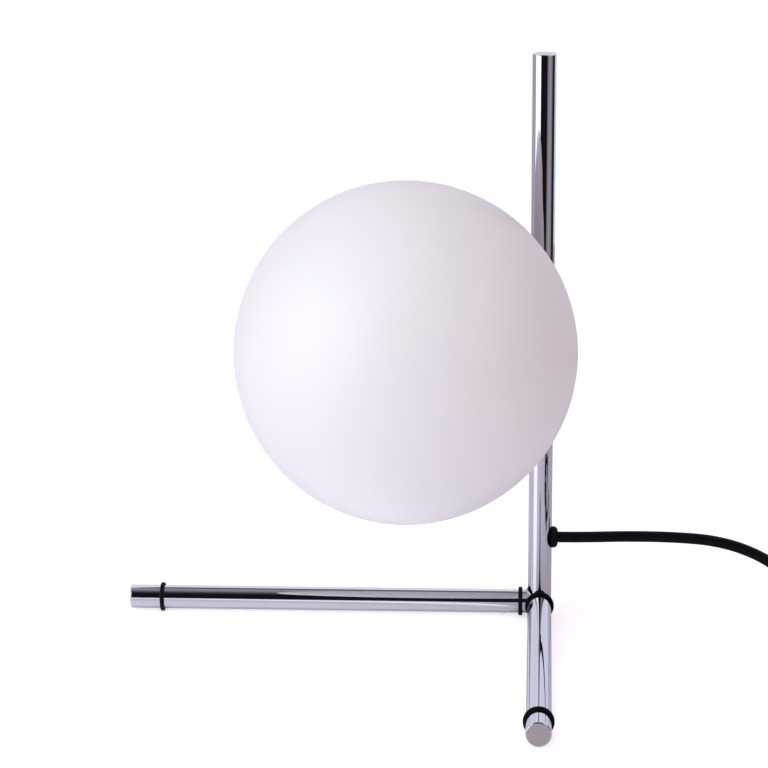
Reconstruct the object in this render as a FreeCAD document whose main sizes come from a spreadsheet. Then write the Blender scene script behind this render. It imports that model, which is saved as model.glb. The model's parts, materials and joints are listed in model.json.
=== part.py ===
import FreeCAD, Part
import math
import os
import re
import Sketcher
from FreeCAD import Vector

# Table lamp on a frame of three mitred tubes: a stem, a bar to the left (-X), a bar to the front (-Y).
# An opal glass globe is screwed on a fitter that stands out of the stem, half way between the two bars.
# Four rubber rings on the bars are its feet, and the cord leaves the stem to the right (+X).
# The origin is on the table under the middle of the lamp without its cord. +Z is up, sizes are millimetres.

doc = FreeCAD.newDocument("GlobeTableLamp")

SIZES = {
    # frame of tubes
    "tube_diameter": 16,
    "tube_wall": 1.5,
    "lamp_height": 385,
    "left_reach": 280,
    "front_reach": 250,
    "cap_head": 1.8,
    "cap_round": 0.9,
    "cap_spigot": 12,
    "cap_lead_in": 0.5,
    "press_clearance": 0.05,
    "joint_arm": 34,
    "set_screw_diameter": 4,
    "set_screw_length": 4.5,
    "set_screw_socket": 2,
    "set_screw_reach": 24,
    # rubber foot rings
    "foot_thickness": 1.75,
    "foot_width": 2.8,
    "foot_round": 0.8,
    "foot_clearance": 0.02,
    "foot_flat": 0.3,
    "foot_inset": 22,
    "foot_left_inner": 13,
    "foot_front_gap": 0.5,
    # globe and its fitter, along the axis from the stem to the middle of the globe
    "globe_diameter": 220,
    "globe_height": 205,
    "globe_gap": 5,
    "globe_heading": 225,
    "glass_wall": 3,
    "neck_opening": 48,
    "bond_gap": 0.2,
    "lip_width": 1.7,
    "lip_thickness": 1.2,
    "seal_thickness": 1.4,
    "seal_inset": 1,
    "flange_thickness": 2,
    "flange_diameter": 49,
    "flange_chamfer": 0.4,
    "sleeve_diameter": 36.4,
    "sleeve_wall": 2,
    "sleeve_length": 9.4,
    "thread_clearance": 0.3,
    "collar_length": 9,
    "saddle_diameter": 14,
    "saddle_depth": 2.4,
    "nipple_diameter": 10,
    "nipple_bore": 7,
    "nipple_length": 16.2,
    "nipple_setback": 0.3,
    "insert_height": 24,
    "lead_clearance": 0.2,
    "nut_flats": 14,
    "nut_thickness": 3,
    "tag_thickness": 0.8,
    "tag_width": 4,
    "tag_gap": 2.2,
    "tag_end_gap": 0.6,
    # lamp holder and bulb
    "bridge_thickness": 1,
    "bridge_width": 13,
    "bridge_rise": 9,
    "bridge_nut_gap": 2.5,
    "holder_edge": 2.4,
    "holder_width": 14,
    "holder_round": 3.5,
    "holder_flange": 5,
    "block_length": 18,
    "block_width": 12,
    "block_height": 10,
    "socket_depth": 8,
    "holder_screw_spacing": 25.2,
    "holder_screw_diameter": 2.5,
    "holder_screw_head": 5.4,
    "holder_screw_end": 1.5,
    "screw_head_height": 1.8,
    "screw_slot": 0.8,
    "screw_clearance": 0.35,
    "contact_slot_width": 2.6,
    "contact_slot_length": 5,
    "contact_slot_depth": 5,
    "contact_thickness": 0.4,
    "contact_width": 4,
    "contact_height": 4.5,
    "contact_clearance": 0.1,
    "contact_offset": 1,
    "pin_spacing": 9,
    "pin_wire": 0.8,
    "pin_loop": 2.2,
    "pin_length": 4.2,
    "pin_bend": 1,
    "bulb_diameter": 16,
    "bulb_length": 46,
    "base_length": 14.6,
    "base_width": 8.1,
    "base_height": 10,
    "base_round": 1,
    "base_clearance": 0.2,
    # cord, grommet and leads
    "cord_diameter": 7.5,
    "cord_height": 55.5,
    "grommet_diameter": 14.6,
    "grommet_reach": 4,
    "grommet_bed": 0.4,
    "grommet_round": 3,
    "grommet_hole": 9.6,
    "grommet_grip": 2.8,
    "grommet_lip": 0.9,
    "grommet_lip_rise": 0.3,
    "core_diameter": 2,
    "core_pitch": 2.3,
    "core_offset": 0.6,
    "core_bend": 2.4,
    "nipple_bend": 2.6,
    "tag_bend": 1.4,
    # coil of the put-away length
    "coil_radius": 53,
    "coil_gap": 0.5,
    "coil_turns": 5.5,
    "coil_end": 8,
    "coil_drop": 204,
    # inline switch
    "switch_side": 192,
    "switch_front": 122,
    "switch_length": 64,
    "switch_width": 28,
    "switch_end_width": 16,
    "switch_end_round": 3,
    "switch_height": 19,
    "switch_edge_round": 3.6,
    "switch_wall": 1.8,
    "cavity_length": 38,
    "boss_diameter": 5.8,
    "boss_inset": 5.4,
    "boss_spread": 15,
    "switch_screw_diameter": 2.1,
    "switch_screw_head": 5,
    "switch_screw_sink": 3,
    "cord_seat": 6,
    "terminal_spread": 13,
    "terminal_size": 8,
    "terminal_height": 5,
    "rocker_length": 18.4,
    "rocker_width": 10.4,
    "rocker_depth": 2.7,
    "rocker_proud": 0.5,
    "rocker_tilt": 8,
    "rocker_clearance": 0.4,
    "pivot_rise": 5,
    "trunnion_diameter": 3,
    "trunnion_end_gap": 0.3,
    "cheek_length": 7.8,
    "running_clearance": 0.05,
    # plug
    "plug_diameter": 37,
    "plug_length": 60,
    "plug_front": 80,
    "plug_pin_diameter": 4.8,
    "plug_pin_root": 4,
    "plug_pin_spacing": 19,
    "plug_pin_length": 18,
    "plug_pin_depth": 10,
    "plug_rim": 16,
    "plug_chamfer": 0.8,
    "plug_shoulder": 4,
    "plug_grip": 20,
    "plug_grip_diameter": 18,
    "relief_diameter": 12.4,
    "relief_end": 10,
    "relief_step": 3,
    "relief_wall": 0.9,
    "rib_width": 1.6,
    "rib_pitch": 3.75,
    "hollow_diameter": 26,
    "hollow_depth": 9,
    "hollow_place": 12,
    "guide_width": 5,
    "guide_depth": 2.5,
    "clip_groove_width": 7,
    "clip_groove_depth": 2.2,
    "clip_groove_length": 15,
    "clip_width": 5,
    "clip_bow": 1.2,
    "clip_crest": 6,
    "clip_end_gap": 0.5,
}

# Sizes that follow from the ones above.
DERIVED = {
    "tube_radius": "tube_diameter / 2",
    "bore_radius": "tube_radius - tube_wall",
    "foot_outer": "tube_radius + foot_clearance + foot_thickness",
    "bar_axis": "foot_outer - foot_flat",
    "joint_radius": "bore_radius - press_clearance",
    "globe_radius": "globe_diameter / 2",
    "globe_reach": "tube_radius + globe_gap + globe_radius",
    "globe_past_x": "globe_radius + globe_reach * cos(globe_heading * 1deg)",
    "globe_past_y": "globe_radius + globe_reach * sin(globe_heading * 1deg)",
    "stem_x": "(left_reach - max(globe_past_x; foot_outer)) / 2",
    "stem_y": "(front_reach - max(globe_past_y; foot_outer)) / 2",
    "neck_radius": "neck_opening / 2",
    "neck_plane": "globe_reach - sqrt(globe_radius * globe_radius - neck_radius * neck_radius)",
    "lip_back": "neck_plane - bond_gap / 4",
    "lip_front": "lip_back - lip_thickness",
    "flange_front": "lip_front - seal_thickness",
    "flange_back": "flange_front - flange_thickness",
    "collar_bore": "sleeve_diameter / 2 + thread_clearance",
    "nipple_start": "nipple_bore / 2 + nipple_setback",
    "nipple_end": "nipple_start + nipple_length",
    "bridge_front": "flange_front + bridge_thickness",
    "nut_back": "bridge_front + tag_thickness",
    "holder_back": "bridge_front + bridge_rise",
    "holder_front": "holder_back + holder_flange",
    "holder_length": "holder_screw_spacing + 2 * holder_edge",
    "block_front": "holder_front + block_height",
    "base_back": "block_front - socket_depth + base_clearance / 2",
    "base_front": "base_back + base_height",
    "nose": "tube_radius + grommet_reach",
    "inner_lip_front": "bore_radius - grommet_grip",
    "inner_lip_back": "inner_lip_front - grommet_lip",
    "cord_radius": "cord_diameter / 2",
    "layer_rise": "cord_diameter + coil_gap",
    "coil_x": "switch_side + coil_radius",
    "plug_x": "coil_x + coil_radius",
    "split": "switch_height / 2",
    "switch_bow": "(switch_width - switch_end_width) / 2",
    "switch_side_radius": "(switch_length * switch_length / 4 + switch_bow * switch_bow) / (2 * switch_bow)",
    "cavity_radius": "switch_side_radius - switch_wall",
    "cavity_bow": "cavity_radius - sqrt(cavity_radius * cavity_radius - cavity_length * cavity_length / 4)",
    "cavity_end_width": "switch_width - 2 * switch_wall - 2 * cavity_bow",
    "pivot": "split + pivot_rise",
    "rocker_radius": "rocker_length / 2",
    "plug_radius": "plug_diameter / 2",
}

sheet = doc.addObject("Spreadsheet::Sheet", "Sizes")
for row, (alias, number) in enumerate(SIZES.items(), start=1):
    sheet.set(f"A{row}", alias)
    sheet.set(f"B{row}", str(number))
    sheet.setAlias(f"B{row}", alias)
doc.recompute()


def formula(text):
    """An expression on the sheet for a text that uses the names of SIZES and DERIVED."""

    def cell(match):
        name = match.group(0)
        if name in DERIVED:
            return f"({formula(DERIVED[name])})"
        return f"Sizes.{name}" if name in SIZES else name

    return re.sub(r"[a-z][a-z_]+", cell, str(text))


def value(text):
    return float(sheet.evalExpression(formula(text)))


# Places. Each is an expression for a Placement, so that the pieces follow the sheet.


def place(x, y, z, *turns):
    """A placement at x, y, z, turned about the given (axis, degrees) pairs from left to right."""
    rotation = " * ".join(f"rotation(vector({axis}); {angle})" for axis, angle in turns or [(UP, 0)])
    return f"placement(vector({x}; {y}; {z}); {rotation})"


RIGHT = "1; 0; 0"
BACK = "0; 1; 0"
UP = "0; 0; 1"


def corner(*turns):
    """The point where the axes of the three tubes meet."""
    return place("stem_x", "stem_y", "bar_axis", *turns)


def on_globe_axis(*turns):
    """The point of the stem's axis at the globe's height, with Z towards the globe and X down."""
    return place("stem_x", "stem_y", "globe_height", (UP, "globe_heading"), (BACK, 90), *turns)


def shifted(base, x, y, z, *turns):
    return f"{base} * {place(x, y, z, *turns)}"


STEM = corner()
LEFT_BAR = corner((BACK, -90))
FRONT_BAR = corner((RIGHT, 90))
GLOBE = on_globe_axis()
GROMMET = place("stem_x", "stem_y", "cord_height", (BACK, 90))
SWITCH = place("stem_x + switch_side", "stem_y - switch_front", 0, (UP, -90))
PLUG = place("stem_x + plug_x", "stem_y - plug_front", "plug_radius", (RIGHT, -90))


# Helpers for parts made of solids and their booleans.


def bind(thing, label, where, **sizes):
    thing.Label = label
    for prop, text in sizes.items():
        thing.setExpression(prop, formula(text))
    if where:
        thing.setExpression("Placement", formula(where))
    return thing


def cylinder(label, where, radius, height):
    return bind(doc.addObject("Part::Cylinder", label), label, where, Radius=radius, Height=height)


def box(label, where, length, width, height):
    """A box whose length and width are centred on its place, and whose height starts there."""
    centred = shifted(where, f"-({length}) / 2", f"-({width}) / 2", 0)
    return bind(doc.addObject("Part::Box", label), label, centred, Length=length, Width=width, Height=height)


def sphere(label, where, radius):
    return bind(doc.addObject("Part::Sphere", label), label, where, Radius=radius)


def prism(label, where, flats, height):
    made = doc.addObject("Part::Prism", label)
    made.Polygon = 6
    return bind(made, label, where, Circumradius=f"({flats}) / 2 / cos(30deg)", Height=height)


def cut(label, base, *tools):
    for number, tool in enumerate(tools, start=1):
        made = doc.addObject("Part::Cut", label if number == len(tools) else f"{label}_cut_{number}")
        made.Base = base
        made.Tool = tool
        base = made
    made.Label = label
    return made


def fuse(label, *shapes):
    made = doc.addObject("Part::MultiFuse", label)
    made.Shapes = list(shapes)
    made.Refine = True
    made.Label = label
    return made


def common(label, base, tool):
    made = doc.addObject("Part::Common", label)
    made.Base = base
    made.Tool = tool
    made.Label = label
    return made


def group(label, *solids):
    made = doc.addObject("Part::Compound", label)
    made.Links = list(solids)
    made.Label = label
    return made


# Helpers for bodies made of sketches and features.


def new_body(label, where):
    return bind(doc.addObject("PartDesign::Body", label), label, where)


def new_sketch(body, role, offset=0):
    """A sketch on one of the body's own origin planes, moved along the plane's normal by offset."""
    sketch = body.newObject("Sketcher::SketchObject", f"{body.Label}_sketch")
    plane = next(item for item in body.Origin.OriginFeatures if item.Role == role)
    sketch.AttachmentSupport = (plane, [""])
    sketch.MapMode = "FlatFace"
    sketch.setExpression("AttachmentOffset.Base.z", formula(offset))
    return sketch


def hold(sketch, kind, *where):
    """Add a dimension to the sketch and bind it to the text that comes last."""
    *where, text = where
    index = sketch.addConstraint(Sketcher.Constraint(kind, *where, value(text)))
    sketch.setExpression(f"Constraints[{index}]", formula(text))


def add_side(sketch, start, end, bow):
    """A straight side, or an arc that stands out by bow to the right of the way from start to end."""
    first, last = (Vector(value(u), value(v), 0) for u, v in (start, end))
    if bow is None:
        return sketch.addGeometry(Part.LineSegment(first, last)), 1, 2
    chord = last - first
    outwards = Vector(chord.y, -chord.x, 0).normalize()
    arc = Part.Arc(first, (first + last) / 2 + outwards * value(bow), last)
    line = sketch.addGeometry(arc)
    width, rise = (f"(({end[axis]}) - ({start[axis]}))" for axis in (0, 1))
    chord_square = f"({width} * {width} + {rise} * {rise})"
    hold(sketch, "Radius", line, f"abs(({chord_square} / 4 + ({bow}) * ({bow})) / (2 * ({bow})))")
    forwards = (sketch.Geometry[line].StartPoint - first).Length < 1e-6
    return (line, 1, 2) if forwards else (line, 2, 1)


def add_polygon(sketch, corners, bows=None):
    """A closed outline whose corners are pairs of formulas. bows holds the rise of each curved side."""
    bows = bows or {}
    sides = [
        add_side(sketch, here, corners[(number + 1) % len(corners)], bows.get(number))
        for number, here in enumerate(corners)
    ]
    for number, (line, first, last) in enumerate(sides):
        following, joint, _ = sides[(number + 1) % len(sides)]
        sketch.addConstraint(Sketcher.Constraint("Coincident", line, last, following, joint))
        u, v = corners[number]
        hold(sketch, "DistanceX", -1, 1, line, first, u)
        hold(sketch, "DistanceY", -1, 1, line, first, v)


def add_circle(sketch, radius, u=0, v=0):
    spot = Vector(value(u), value(v), 0)
    line = sketch.addGeometry(Part.Circle(spot, Vector(0, 0, 1), value(radius)))
    hold(sketch, "DistanceX", -1, 1, line, 3, u)
    hold(sketch, "DistanceY", -1, 1, line, 3, v)
    hold(sketch, "Radius", line, radius)


def rectangle(length, width, u=0, v=0):
    """The corners of a rectangle centred on u, v."""
    low_u, high_u = f"{u} - ({length}) / 2", f"{u} + ({length}) / 2"
    low_v, high_v = f"{v} - ({width}) / 2", f"{v} + ({width}) / 2"
    return [(low_u, low_v), (high_u, low_v), (high_u, high_v), (low_u, high_v)]


def pad(body, sketch, length, back=False, symmetric=False):
    made = body.newObject("PartDesign::Pad", f"{body.Label}_pad")
    made.Profile = sketch
    made.Reversed = back
    made.SideType = "Symmetric" if symmetric else "One side"
    made.setExpression("Length", formula(length))
    return made


def pocket(body, sketch, depth=None, back=False, symmetric=False):
    """A pocket of the given depth, or through all."""
    made = body.newObject("PartDesign::Pocket", f"{body.Label}_pocket")
    made.Profile = sketch
    made.Reversed = back
    made.SideType = "Symmetric" if symmetric else "One side"
    if depth is None:
        made.Type = "ThroughAll"
    else:
        made.setExpression("Length", formula(depth))
    return made


def revolve(body, sketch, kind="Revolution"):
    made = body.newObject(f"PartDesign::{kind}", f"{body.Label}_turn")
    made.Profile = sketch
    made.ReferenceAxis = (sketch, ["V_Axis"])
    made.Angle = 360
    return made


def drill(body, where, radius, length):
    """A round hole along Z of where, which is a place in the body."""
    made = body.newObject("PartDesign::SubtractiveCylinder", f"{body.Label}_hole")
    plane = next(item for item in body.Origin.OriginFeatures if item.Role == "XY_Plane")
    made.AttachmentSupport = (plane, [""])
    made.MapMode = "FlatFace"
    made.setExpression("AttachmentOffset", formula(where))
    made.setExpression("Radius", formula(radius))
    made.setExpression("Height", formula(length))
    return made


def upright(height):
    """A test for the edges of a piece that rise by this height."""
    return lambda edge: abs(edge.BoundBox.ZLength - value(height)) < 0.01


def edges_of(feature, wanted):
    """The names of the feature's edges that the wanted test picks."""
    doc.recompute()
    return [f"Edge{number}" for number, edge in enumerate(feature.Shape.Edges, start=1) if wanted(edge)]


def round_edges(body, feature, wanted, radius):
    edges = edges_of(feature, wanted)
    made = body.newObject("PartDesign::Fillet", f"{body.Label}_round")
    made.Base = (feature, edges)
    made.setExpression("Radius", formula(radius))
    return made


def rim(radius, low=None, high=None):
    """A test for a turned piece's round edges of this radius, between two heights in its body."""

    def wanted(edge):
        if edge.Curve.TypeId != "Part::GeomCircle" or abs(edge.Curve.Radius - value(radius)) > 0.001:
            return False
        height = edge.Curve.Center.z
        return (low is None or height > value(low)) and (high is None or height < value(high))

    return wanted


def turned_body(label, where, profile, bows=None):
    """A body turned about its Z axis from a profile of (radius, height) corners."""
    body = new_body(label, where)
    sketch = new_sketch(body, "XZ_Plane")
    add_polygon(sketch, profile, bows)
    revolve(body, sketch)
    return body


def ring_body(label, where, inner, outer, start, length):
    body = new_body(label, where)
    sketch = new_sketch(body, "XY_Plane", start)
    add_circle(sketch, outer)
    add_circle(sketch, inner)
    pad(body, sketch, length)
    return body


# Frame: three tubes, cut to the planes half way between them, so that they close in one mitred corner.


def mitred_tube(label, where, length, x_side, y_side):
    """A tube along Z from the corner. Its neighbours leave it on the sides x_side and y_side, +1 or -1."""
    body = ring_body(label, where, "bore_radius", "tube_radius", "-tube_radius", f"{length} + tube_radius")
    for role, side in (("XZ_Plane", x_side), ("YZ_Plane", y_side)):
        sketch = new_sketch(body, role)
        low, high = f"-{side} * tube_diameter", f"{side} * tube_diameter"
        floor = "-2 * tube_diameter"
        add_polygon(sketch, [("-tube_diameter", low), ("tube_diameter", high), ("tube_diameter", floor),
                             ("-tube_diameter", floor)])
        pocket(body, sketch, symmetric=True)
    return body


def set_screw_place(where, down):
    """On the tube's skin, with Z towards its axis. down turns Z from the tube's axis to the inside."""
    return shifted(shifted(where, 0, 0, "set_screw_reach", down), 0, 0, "-tube_radius")


TUBES = {
    "stem": (STEM, "lamp_height - bar_axis - cap_head", -1, -1, (RIGHT, 90)),
    "left_bar": (LEFT_BAR, "left_reach - cap_head", 1, -1, (BACK, 90)),
    "front_bar": (FRONT_BAR, "front_reach - cap_head", -1, 1, (RIGHT, -90)),
}
tubes = {}
for name, (where, length, x_side, y_side, inward) in TUBES.items():
    tube = mitred_tube(f"{name}_tube", where, length, x_side, y_side)
    seat = set_screw_place(place(0, 0, 0), inward)
    drill(tube, seat, "set_screw_diameter / 2 + press_clearance", "tube_radius")
    tubes[name] = tube

NIPPLE_WAY = place(0, 0, "globe_height - bar_axis", (UP, "globe_heading"), (BACK, 90))
CORD_WAY = place(0, 0, "cord_height - bar_axis", (BACK, 90))
drill(tubes["stem"], NIPPLE_WAY, "nipple_diameter / 2 + press_clearance", "tube_diameter")
drill(tubes["stem"], CORD_WAY, "grommet_hole / 2", "tube_diameter")

CAP_PROFILE = [
    (0, "-cap_spigot"),
    ("joint_radius - cap_lead_in", "-cap_spigot"),
    ("joint_radius", "-cap_spigot + cap_lead_in"),
    ("joint_radius", 0),
    ("tube_radius", 0),
    ("tube_radius", "cap_head"),
    (0, "cap_head"),
]
caps = []
for label, name in (("stem_top_cap", "stem"), ("left_end_cap", "left_bar"), ("front_end_cap", "front_bar")):
    where, length = TUBES[name][:2]
    cap = turned_body(label, shifted(where, 0, 0, length), CAP_PROFILE)
    round_edges(cap, cap.Tip, rim("tube_radius", low="cap_head / 2"), "cap_round")
    caps.append(cap)

# The joint in the corner: a ball with an arm in each tube, tapped for one set screw in each arm.
SCREW_SEATS = {name: set_screw_place(where, inward) for name, (where, _, _, _, inward) in TUBES.items()}
arms = [
    cylinder(f"joint_arm_{name}", where, "joint_radius", "joint_arm") for name, (where, *_) in TUBES.items()
]
taps = [
    cylinder(f"joint_tap_{name}", seat, "set_screw_diameter / 2 + press_clearance", "tube_radius")
    for name, seat in SCREW_SEATS.items()
]
joint_blank = fuse("corner_joint_blank", sphere("joint_ball", STEM, "joint_radius"), *arms)
corner_joint = cut("corner_joint", joint_blank, *taps)


def set_screw(name, seat):
    start = shifted(seat, 0, 0, "press_clearance")
    shank = cylinder(f"set_screw_{name}_shank", start, "set_screw_diameter / 2", "set_screw_length")
    socket = prism(f"set_screw_{name}_socket", start, "set_screw_socket", "set_screw_length / 2")
    return cut(f"set_screw_{name}", shank, socket)


corner_set_screws = group(
    "corner_set_screws", *(set_screw(name, seat) for name, seat in SCREW_SEATS.items())
)

# Foot rings: rubber rings round the bars, a little flattened where they stand on the table.
table = box("table_level", place("stem_x", "stem_y", "-tube_diameter"), "4 * lamp_height", "4 * lamp_height",
            "tube_diameter")


def foot_ring(label, bar, distance):
    where = shifted(bar, 0, 0, f"{distance} - foot_width / 2")
    ring = ring_body(f"{label}_ring", where, "tube_radius + foot_clearance", "foot_outer", 0, "foot_width")
    round_edges(ring, ring.Tip, rim("foot_outer"), "foot_round")
    return cut(label, ring, table)


foot_rings = [
    foot_ring("foot_ring_left_outer", LEFT_BAR, "left_reach - foot_inset"),
    foot_ring("foot_ring_left_inner", LEFT_BAR, "foot_left_inner"),
    foot_ring("foot_ring_front_outer", FRONT_BAR, "front_reach - foot_inset"),
    foot_ring("foot_ring_front_inner", FRONT_BAR, "tube_radius + foot_front_gap + foot_width / 2"),
]

# Inside the stem: an insert that the nipple screws into, open below for the leads.
insert_blank = cylinder(
    "stem_insert_blank",
    place("stem_x", "stem_y", "globe_height - insert_height / 2"),
    "joint_radius",
    "insert_height",
)
lead_way = cylinder(
    "stem_insert_lead_way",
    place("stem_x", "stem_y", "globe_height - insert_height"),
    "nipple_bore / 2 + lead_clearance",
    "insert_height + nipple_bore / 2 + lead_clearance",
)
nipple_way = cylinder(
    "stem_insert_nipple_way", GLOBE, "nipple_diameter / 2 + press_clearance / 2", "tube_radius"
)
stem_insert = cut("stem_insert", insert_blank, lead_way, nipple_way)

threaded_nipple = ring_body(
    "threaded_nipple", GLOBE, "nipple_bore / 2", "nipple_diameter / 2", "nipple_start", "nipple_length"
)

# Saddle: flat towards the globe and hollowed to the stem's round skin.
stem_saddle = ring_body(
    "stem_saddle",
    GLOBE,
    "nipple_diameter / 2 + press_clearance",
    "saddle_diameter / 2",
    "tube_radius - saddle_depth",
    "flange_back - tube_radius + saddle_depth",
)
TUBE_WAY = place("-tube_diameter", 0, 0, (BACK, 90))
drill(stem_saddle, TUBE_WAY, "tube_radius + foot_clearance", "2 * tube_diameter")

# Fitter: a flange with a sleeve that the globe's collar screws on.
globe_fitter = turned_body(
    "globe_fitter",
    GLOBE,
    [
        ("nipple_diameter / 2 + press_clearance", "flange_back"),
        ("flange_diameter / 2 - flange_chamfer", "flange_back"),
        ("flange_diameter / 2", "flange_back + flange_chamfer"),
        ("flange_diameter / 2", "flange_front - flange_chamfer"),
        ("flange_diameter / 2 - flange_chamfer", "flange_front"),
        ("sleeve_diameter / 2", "flange_front"),
        ("sleeve_diameter / 2", "flange_front + sleeve_length"),
        ("sleeve_diameter / 2 - sleeve_wall", "flange_front + sleeve_length"),
        ("sleeve_diameter / 2 - sleeve_wall", "flange_front"),
        ("nipple_diameter / 2 + press_clearance", "flange_front"),
    ],
)

# Globe: a blown ball with a round mouth, the collar bonded in the mouth and the soft ring before it.
ball = sphere("glass_ball", shifted(GLOBE, 0, 0, "globe_reach"), "globe_radius")
hollow = sphere("glass_hollow", shifted(GLOBE, 0, 0, "globe_reach"), "globe_radius - glass_wall")
mouth = cylinder("glass_mouth", GLOBE, "neck_radius", "globe_reach")
glass_globe = cut("glass_globe", ball, hollow, mouth)

globe_collar = turned_body(
    "globe_collar",
    GLOBE,
    [
        ("collar_bore", "lip_front"),
        ("neck_radius + lip_width - flange_chamfer", "lip_front"),
        ("neck_radius + lip_width", "lip_front + flange_chamfer"),
        ("neck_radius + lip_width", "lip_back"),
        ("neck_radius - bond_gap", "lip_back"),
        ("neck_radius - bond_gap", "lip_back + collar_length"),
        ("collar_bore", "lip_back + collar_length"),
    ],
)
globe_seal = ring_body(
    "globe_seal", GLOBE, "collar_bore", "neck_radius - seal_inset", "flange_front", "seal_thickness"
)

# Bridge: a strap bent up on both sides, with an ear on each side for a screw of the holder.
holder_bridge = new_body("holder_bridge", GLOBE)
sketch = new_sketch(holder_bridge, "YZ_Plane")
half = "(nut_flats / 2 + bridge_nut_gap)"
ear = "(holder_length / 2)"
strap = [
    (f"-{half} - bridge_thickness", "flange_front"),
    (f"{half} + bridge_thickness", "flange_front"),
    (f"{half} + bridge_thickness", "holder_back - bridge_thickness"),
    (ear, "holder_back - bridge_thickness"),
    (ear, "holder_back"),
    (half, "holder_back"),
    (half, "bridge_front"),
    (f"-{half}", "bridge_front"),
    (f"-{half}", "holder_back"),
    (f"-{ear}", "holder_back"),
    (f"-{ear}", "holder_back - bridge_thickness"),
    (f"-{half} - bridge_thickness", "holder_back - bridge_thickness"),
]
add_polygon(sketch, strap)
pad(holder_bridge, sketch, "bridge_width", symmetric=True)
drill(holder_bridge, place(0, 0, 0), "nipple_diameter / 2 + press_clearance", "nipple_end")
for side in (-1, 1):
    drill(
        holder_bridge,
        place(0, f"{side} * holder_screw_spacing / 2", "bridge_front"),
        "holder_screw_diameter / 2 + press_clearance",
        "holder_flange + bridge_rise",
    )

# Nut on the nipple, and the tag of the earth lead under it.
nut_blank = prism("nipple_nut_blank", shifted(GLOBE, 0, 0, "nut_back"), "nut_flats", "nut_thickness")
nut_thread = cylinder("nipple_nut_thread", GLOBE, "nipple_diameter / 2 + press_clearance / 2", "holder_back")
nipple_nut = cut("nipple_nut", nut_blank, nut_thread)

earth_tag = ring_body(
    "earth_tag",
    GLOBE,
    "nipple_diameter / 2 + press_clearance",
    "nut_flats / 2",
    "bridge_front",
    "tag_thickness",
)
sketch = new_sketch(earth_tag, "XZ_Plane")
tab = "(nut_flats / 2 + tag_gap)"
add_polygon(
    sketch,
    [
        ("nut_flats / 2 - tag_thickness", "bridge_front"),
        (tab, "bridge_front"),
        (tab, "holder_back - tag_end_gap"),
        (f"{tab} - tag_thickness", "holder_back - tag_end_gap"),
        (f"{tab} - tag_thickness", "nut_back"),
        ("nut_flats / 2 - tag_thickness", "nut_back"),
    ],
)
pad(earth_tag, sketch, "tag_width", symmetric=True)

# Lamp holder: a flange for two screws and a block with the socket for the bulb's base and pins.
lamp_holder = new_body("lamp_holder", GLOBE)
sketch = new_sketch(lamp_holder, "XY_Plane", "holder_back")
add_polygon(sketch, rectangle("holder_width", "holder_length"))
flange = pad(lamp_holder, sketch, "holder_flange")
round_edges(lamp_holder, flange, upright("holder_flange"), "holder_round")
sketch = new_sketch(lamp_holder, "XY_Plane", "holder_front")
add_polygon(sketch, rectangle("block_width", "block_length"))
pad(lamp_holder, sketch, "block_height")
sketch = new_sketch(lamp_holder, "XY_Plane", "block_front")
add_polygon(sketch, rectangle("base_width + 2 * base_clearance", "base_length + 2 * base_clearance"))
pocket(lamp_holder, sketch, "socket_depth")
for side in (-1, 1):
    sketch = new_sketch(lamp_holder, "XY_Plane", "block_front")
    add_polygon(
        sketch, rectangle("contact_slot_width", "contact_slot_length", 0, f"{side} * pin_spacing / 2")
    )
    pocket(lamp_holder, sketch, "socket_depth + contact_slot_depth")
    drill(
        lamp_holder,
        place(0, f"{side} * holder_screw_spacing / 2", "flange_front"),
        "holder_screw_diameter / 2 + screw_clearance",
        "holder_front",
    )

# Contacts: a spring strip beside each looped pin, on the floor of its slot.
contact_floor = "(block_front - socket_depth - contact_slot_depth + contact_clearance)"
holder_contacts = group(
    "holder_contacts",
    *(
        box(
            f"holder_contact_{number}",
            shifted(GLOBE, "contact_offset", f"{side} * pin_spacing / 2", contact_floor),
            "contact_thickness",
            "contact_width",
            "contact_height",
        )
        for number, side in enumerate((-1, 1), start=1)
    ),
)


def slotted_screw(name, seat, head_diameter, shank_diameter, length):
    """A screw with its head's underside at seat and its shank along Z."""
    top = shifted(seat, 0, 0, "-screw_head_height")
    head = cylinder(f"{name}_head", top, f"{head_diameter} / 2", "screw_head_height")
    shank = cylinder(f"{name}_shank", seat, f"{shank_diameter} / 2", length)
    slot = box(f"{name}_slot", shifted(top, 0, 0, "-screw_slot"), "screw_slot", head_diameter,
               "screw_slot + screw_head_height / 2")
    return cut(name, fuse(f"{name}_blank", head, shank), slot)


holder_screws = group(
    "holder_screws",
    *(
        slotted_screw(
            f"holder_screw_{number}",
            shifted(GLOBE, 0, f"{side} * holder_screw_spacing / 2", "holder_front", (RIGHT, 180)),
            "holder_screw_head",
            "holder_screw_diameter",
            "holder_flange + bridge_thickness + holder_screw_end",
        )
        for number, side in enumerate((-1, 1), start=1)
    ),
)

# Bulb: a round capsule on a flat base with two looped pins.
bulb_radius = "(bulb_diameter / 2)"
capsule_tube = cylinder(
    "bulb_capsule_tube", shifted(GLOBE, 0, 0, "base_front"), bulb_radius, f"bulb_length - {bulb_radius}"
)
capsule_end = shifted(GLOBE, 0, 0, f"base_front + bulb_length - {bulb_radius}")
capsule_dome = sphere("bulb_capsule_dome", capsule_end, bulb_radius)
bulb_capsule = fuse("bulb_capsule", capsule_tube, capsule_dome)

bulb_base = new_body("bulb_base", GLOBE)
sketch = new_sketch(bulb_base, "XY_Plane", "base_back")
add_polygon(sketch, rectangle("base_width", "base_length"))
block = pad(bulb_base, sketch, "base_height")
round_edges(bulb_base, block, upright("base_height"), "base_round")


# Swept pieces: paths of straight runs and arcs.


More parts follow.
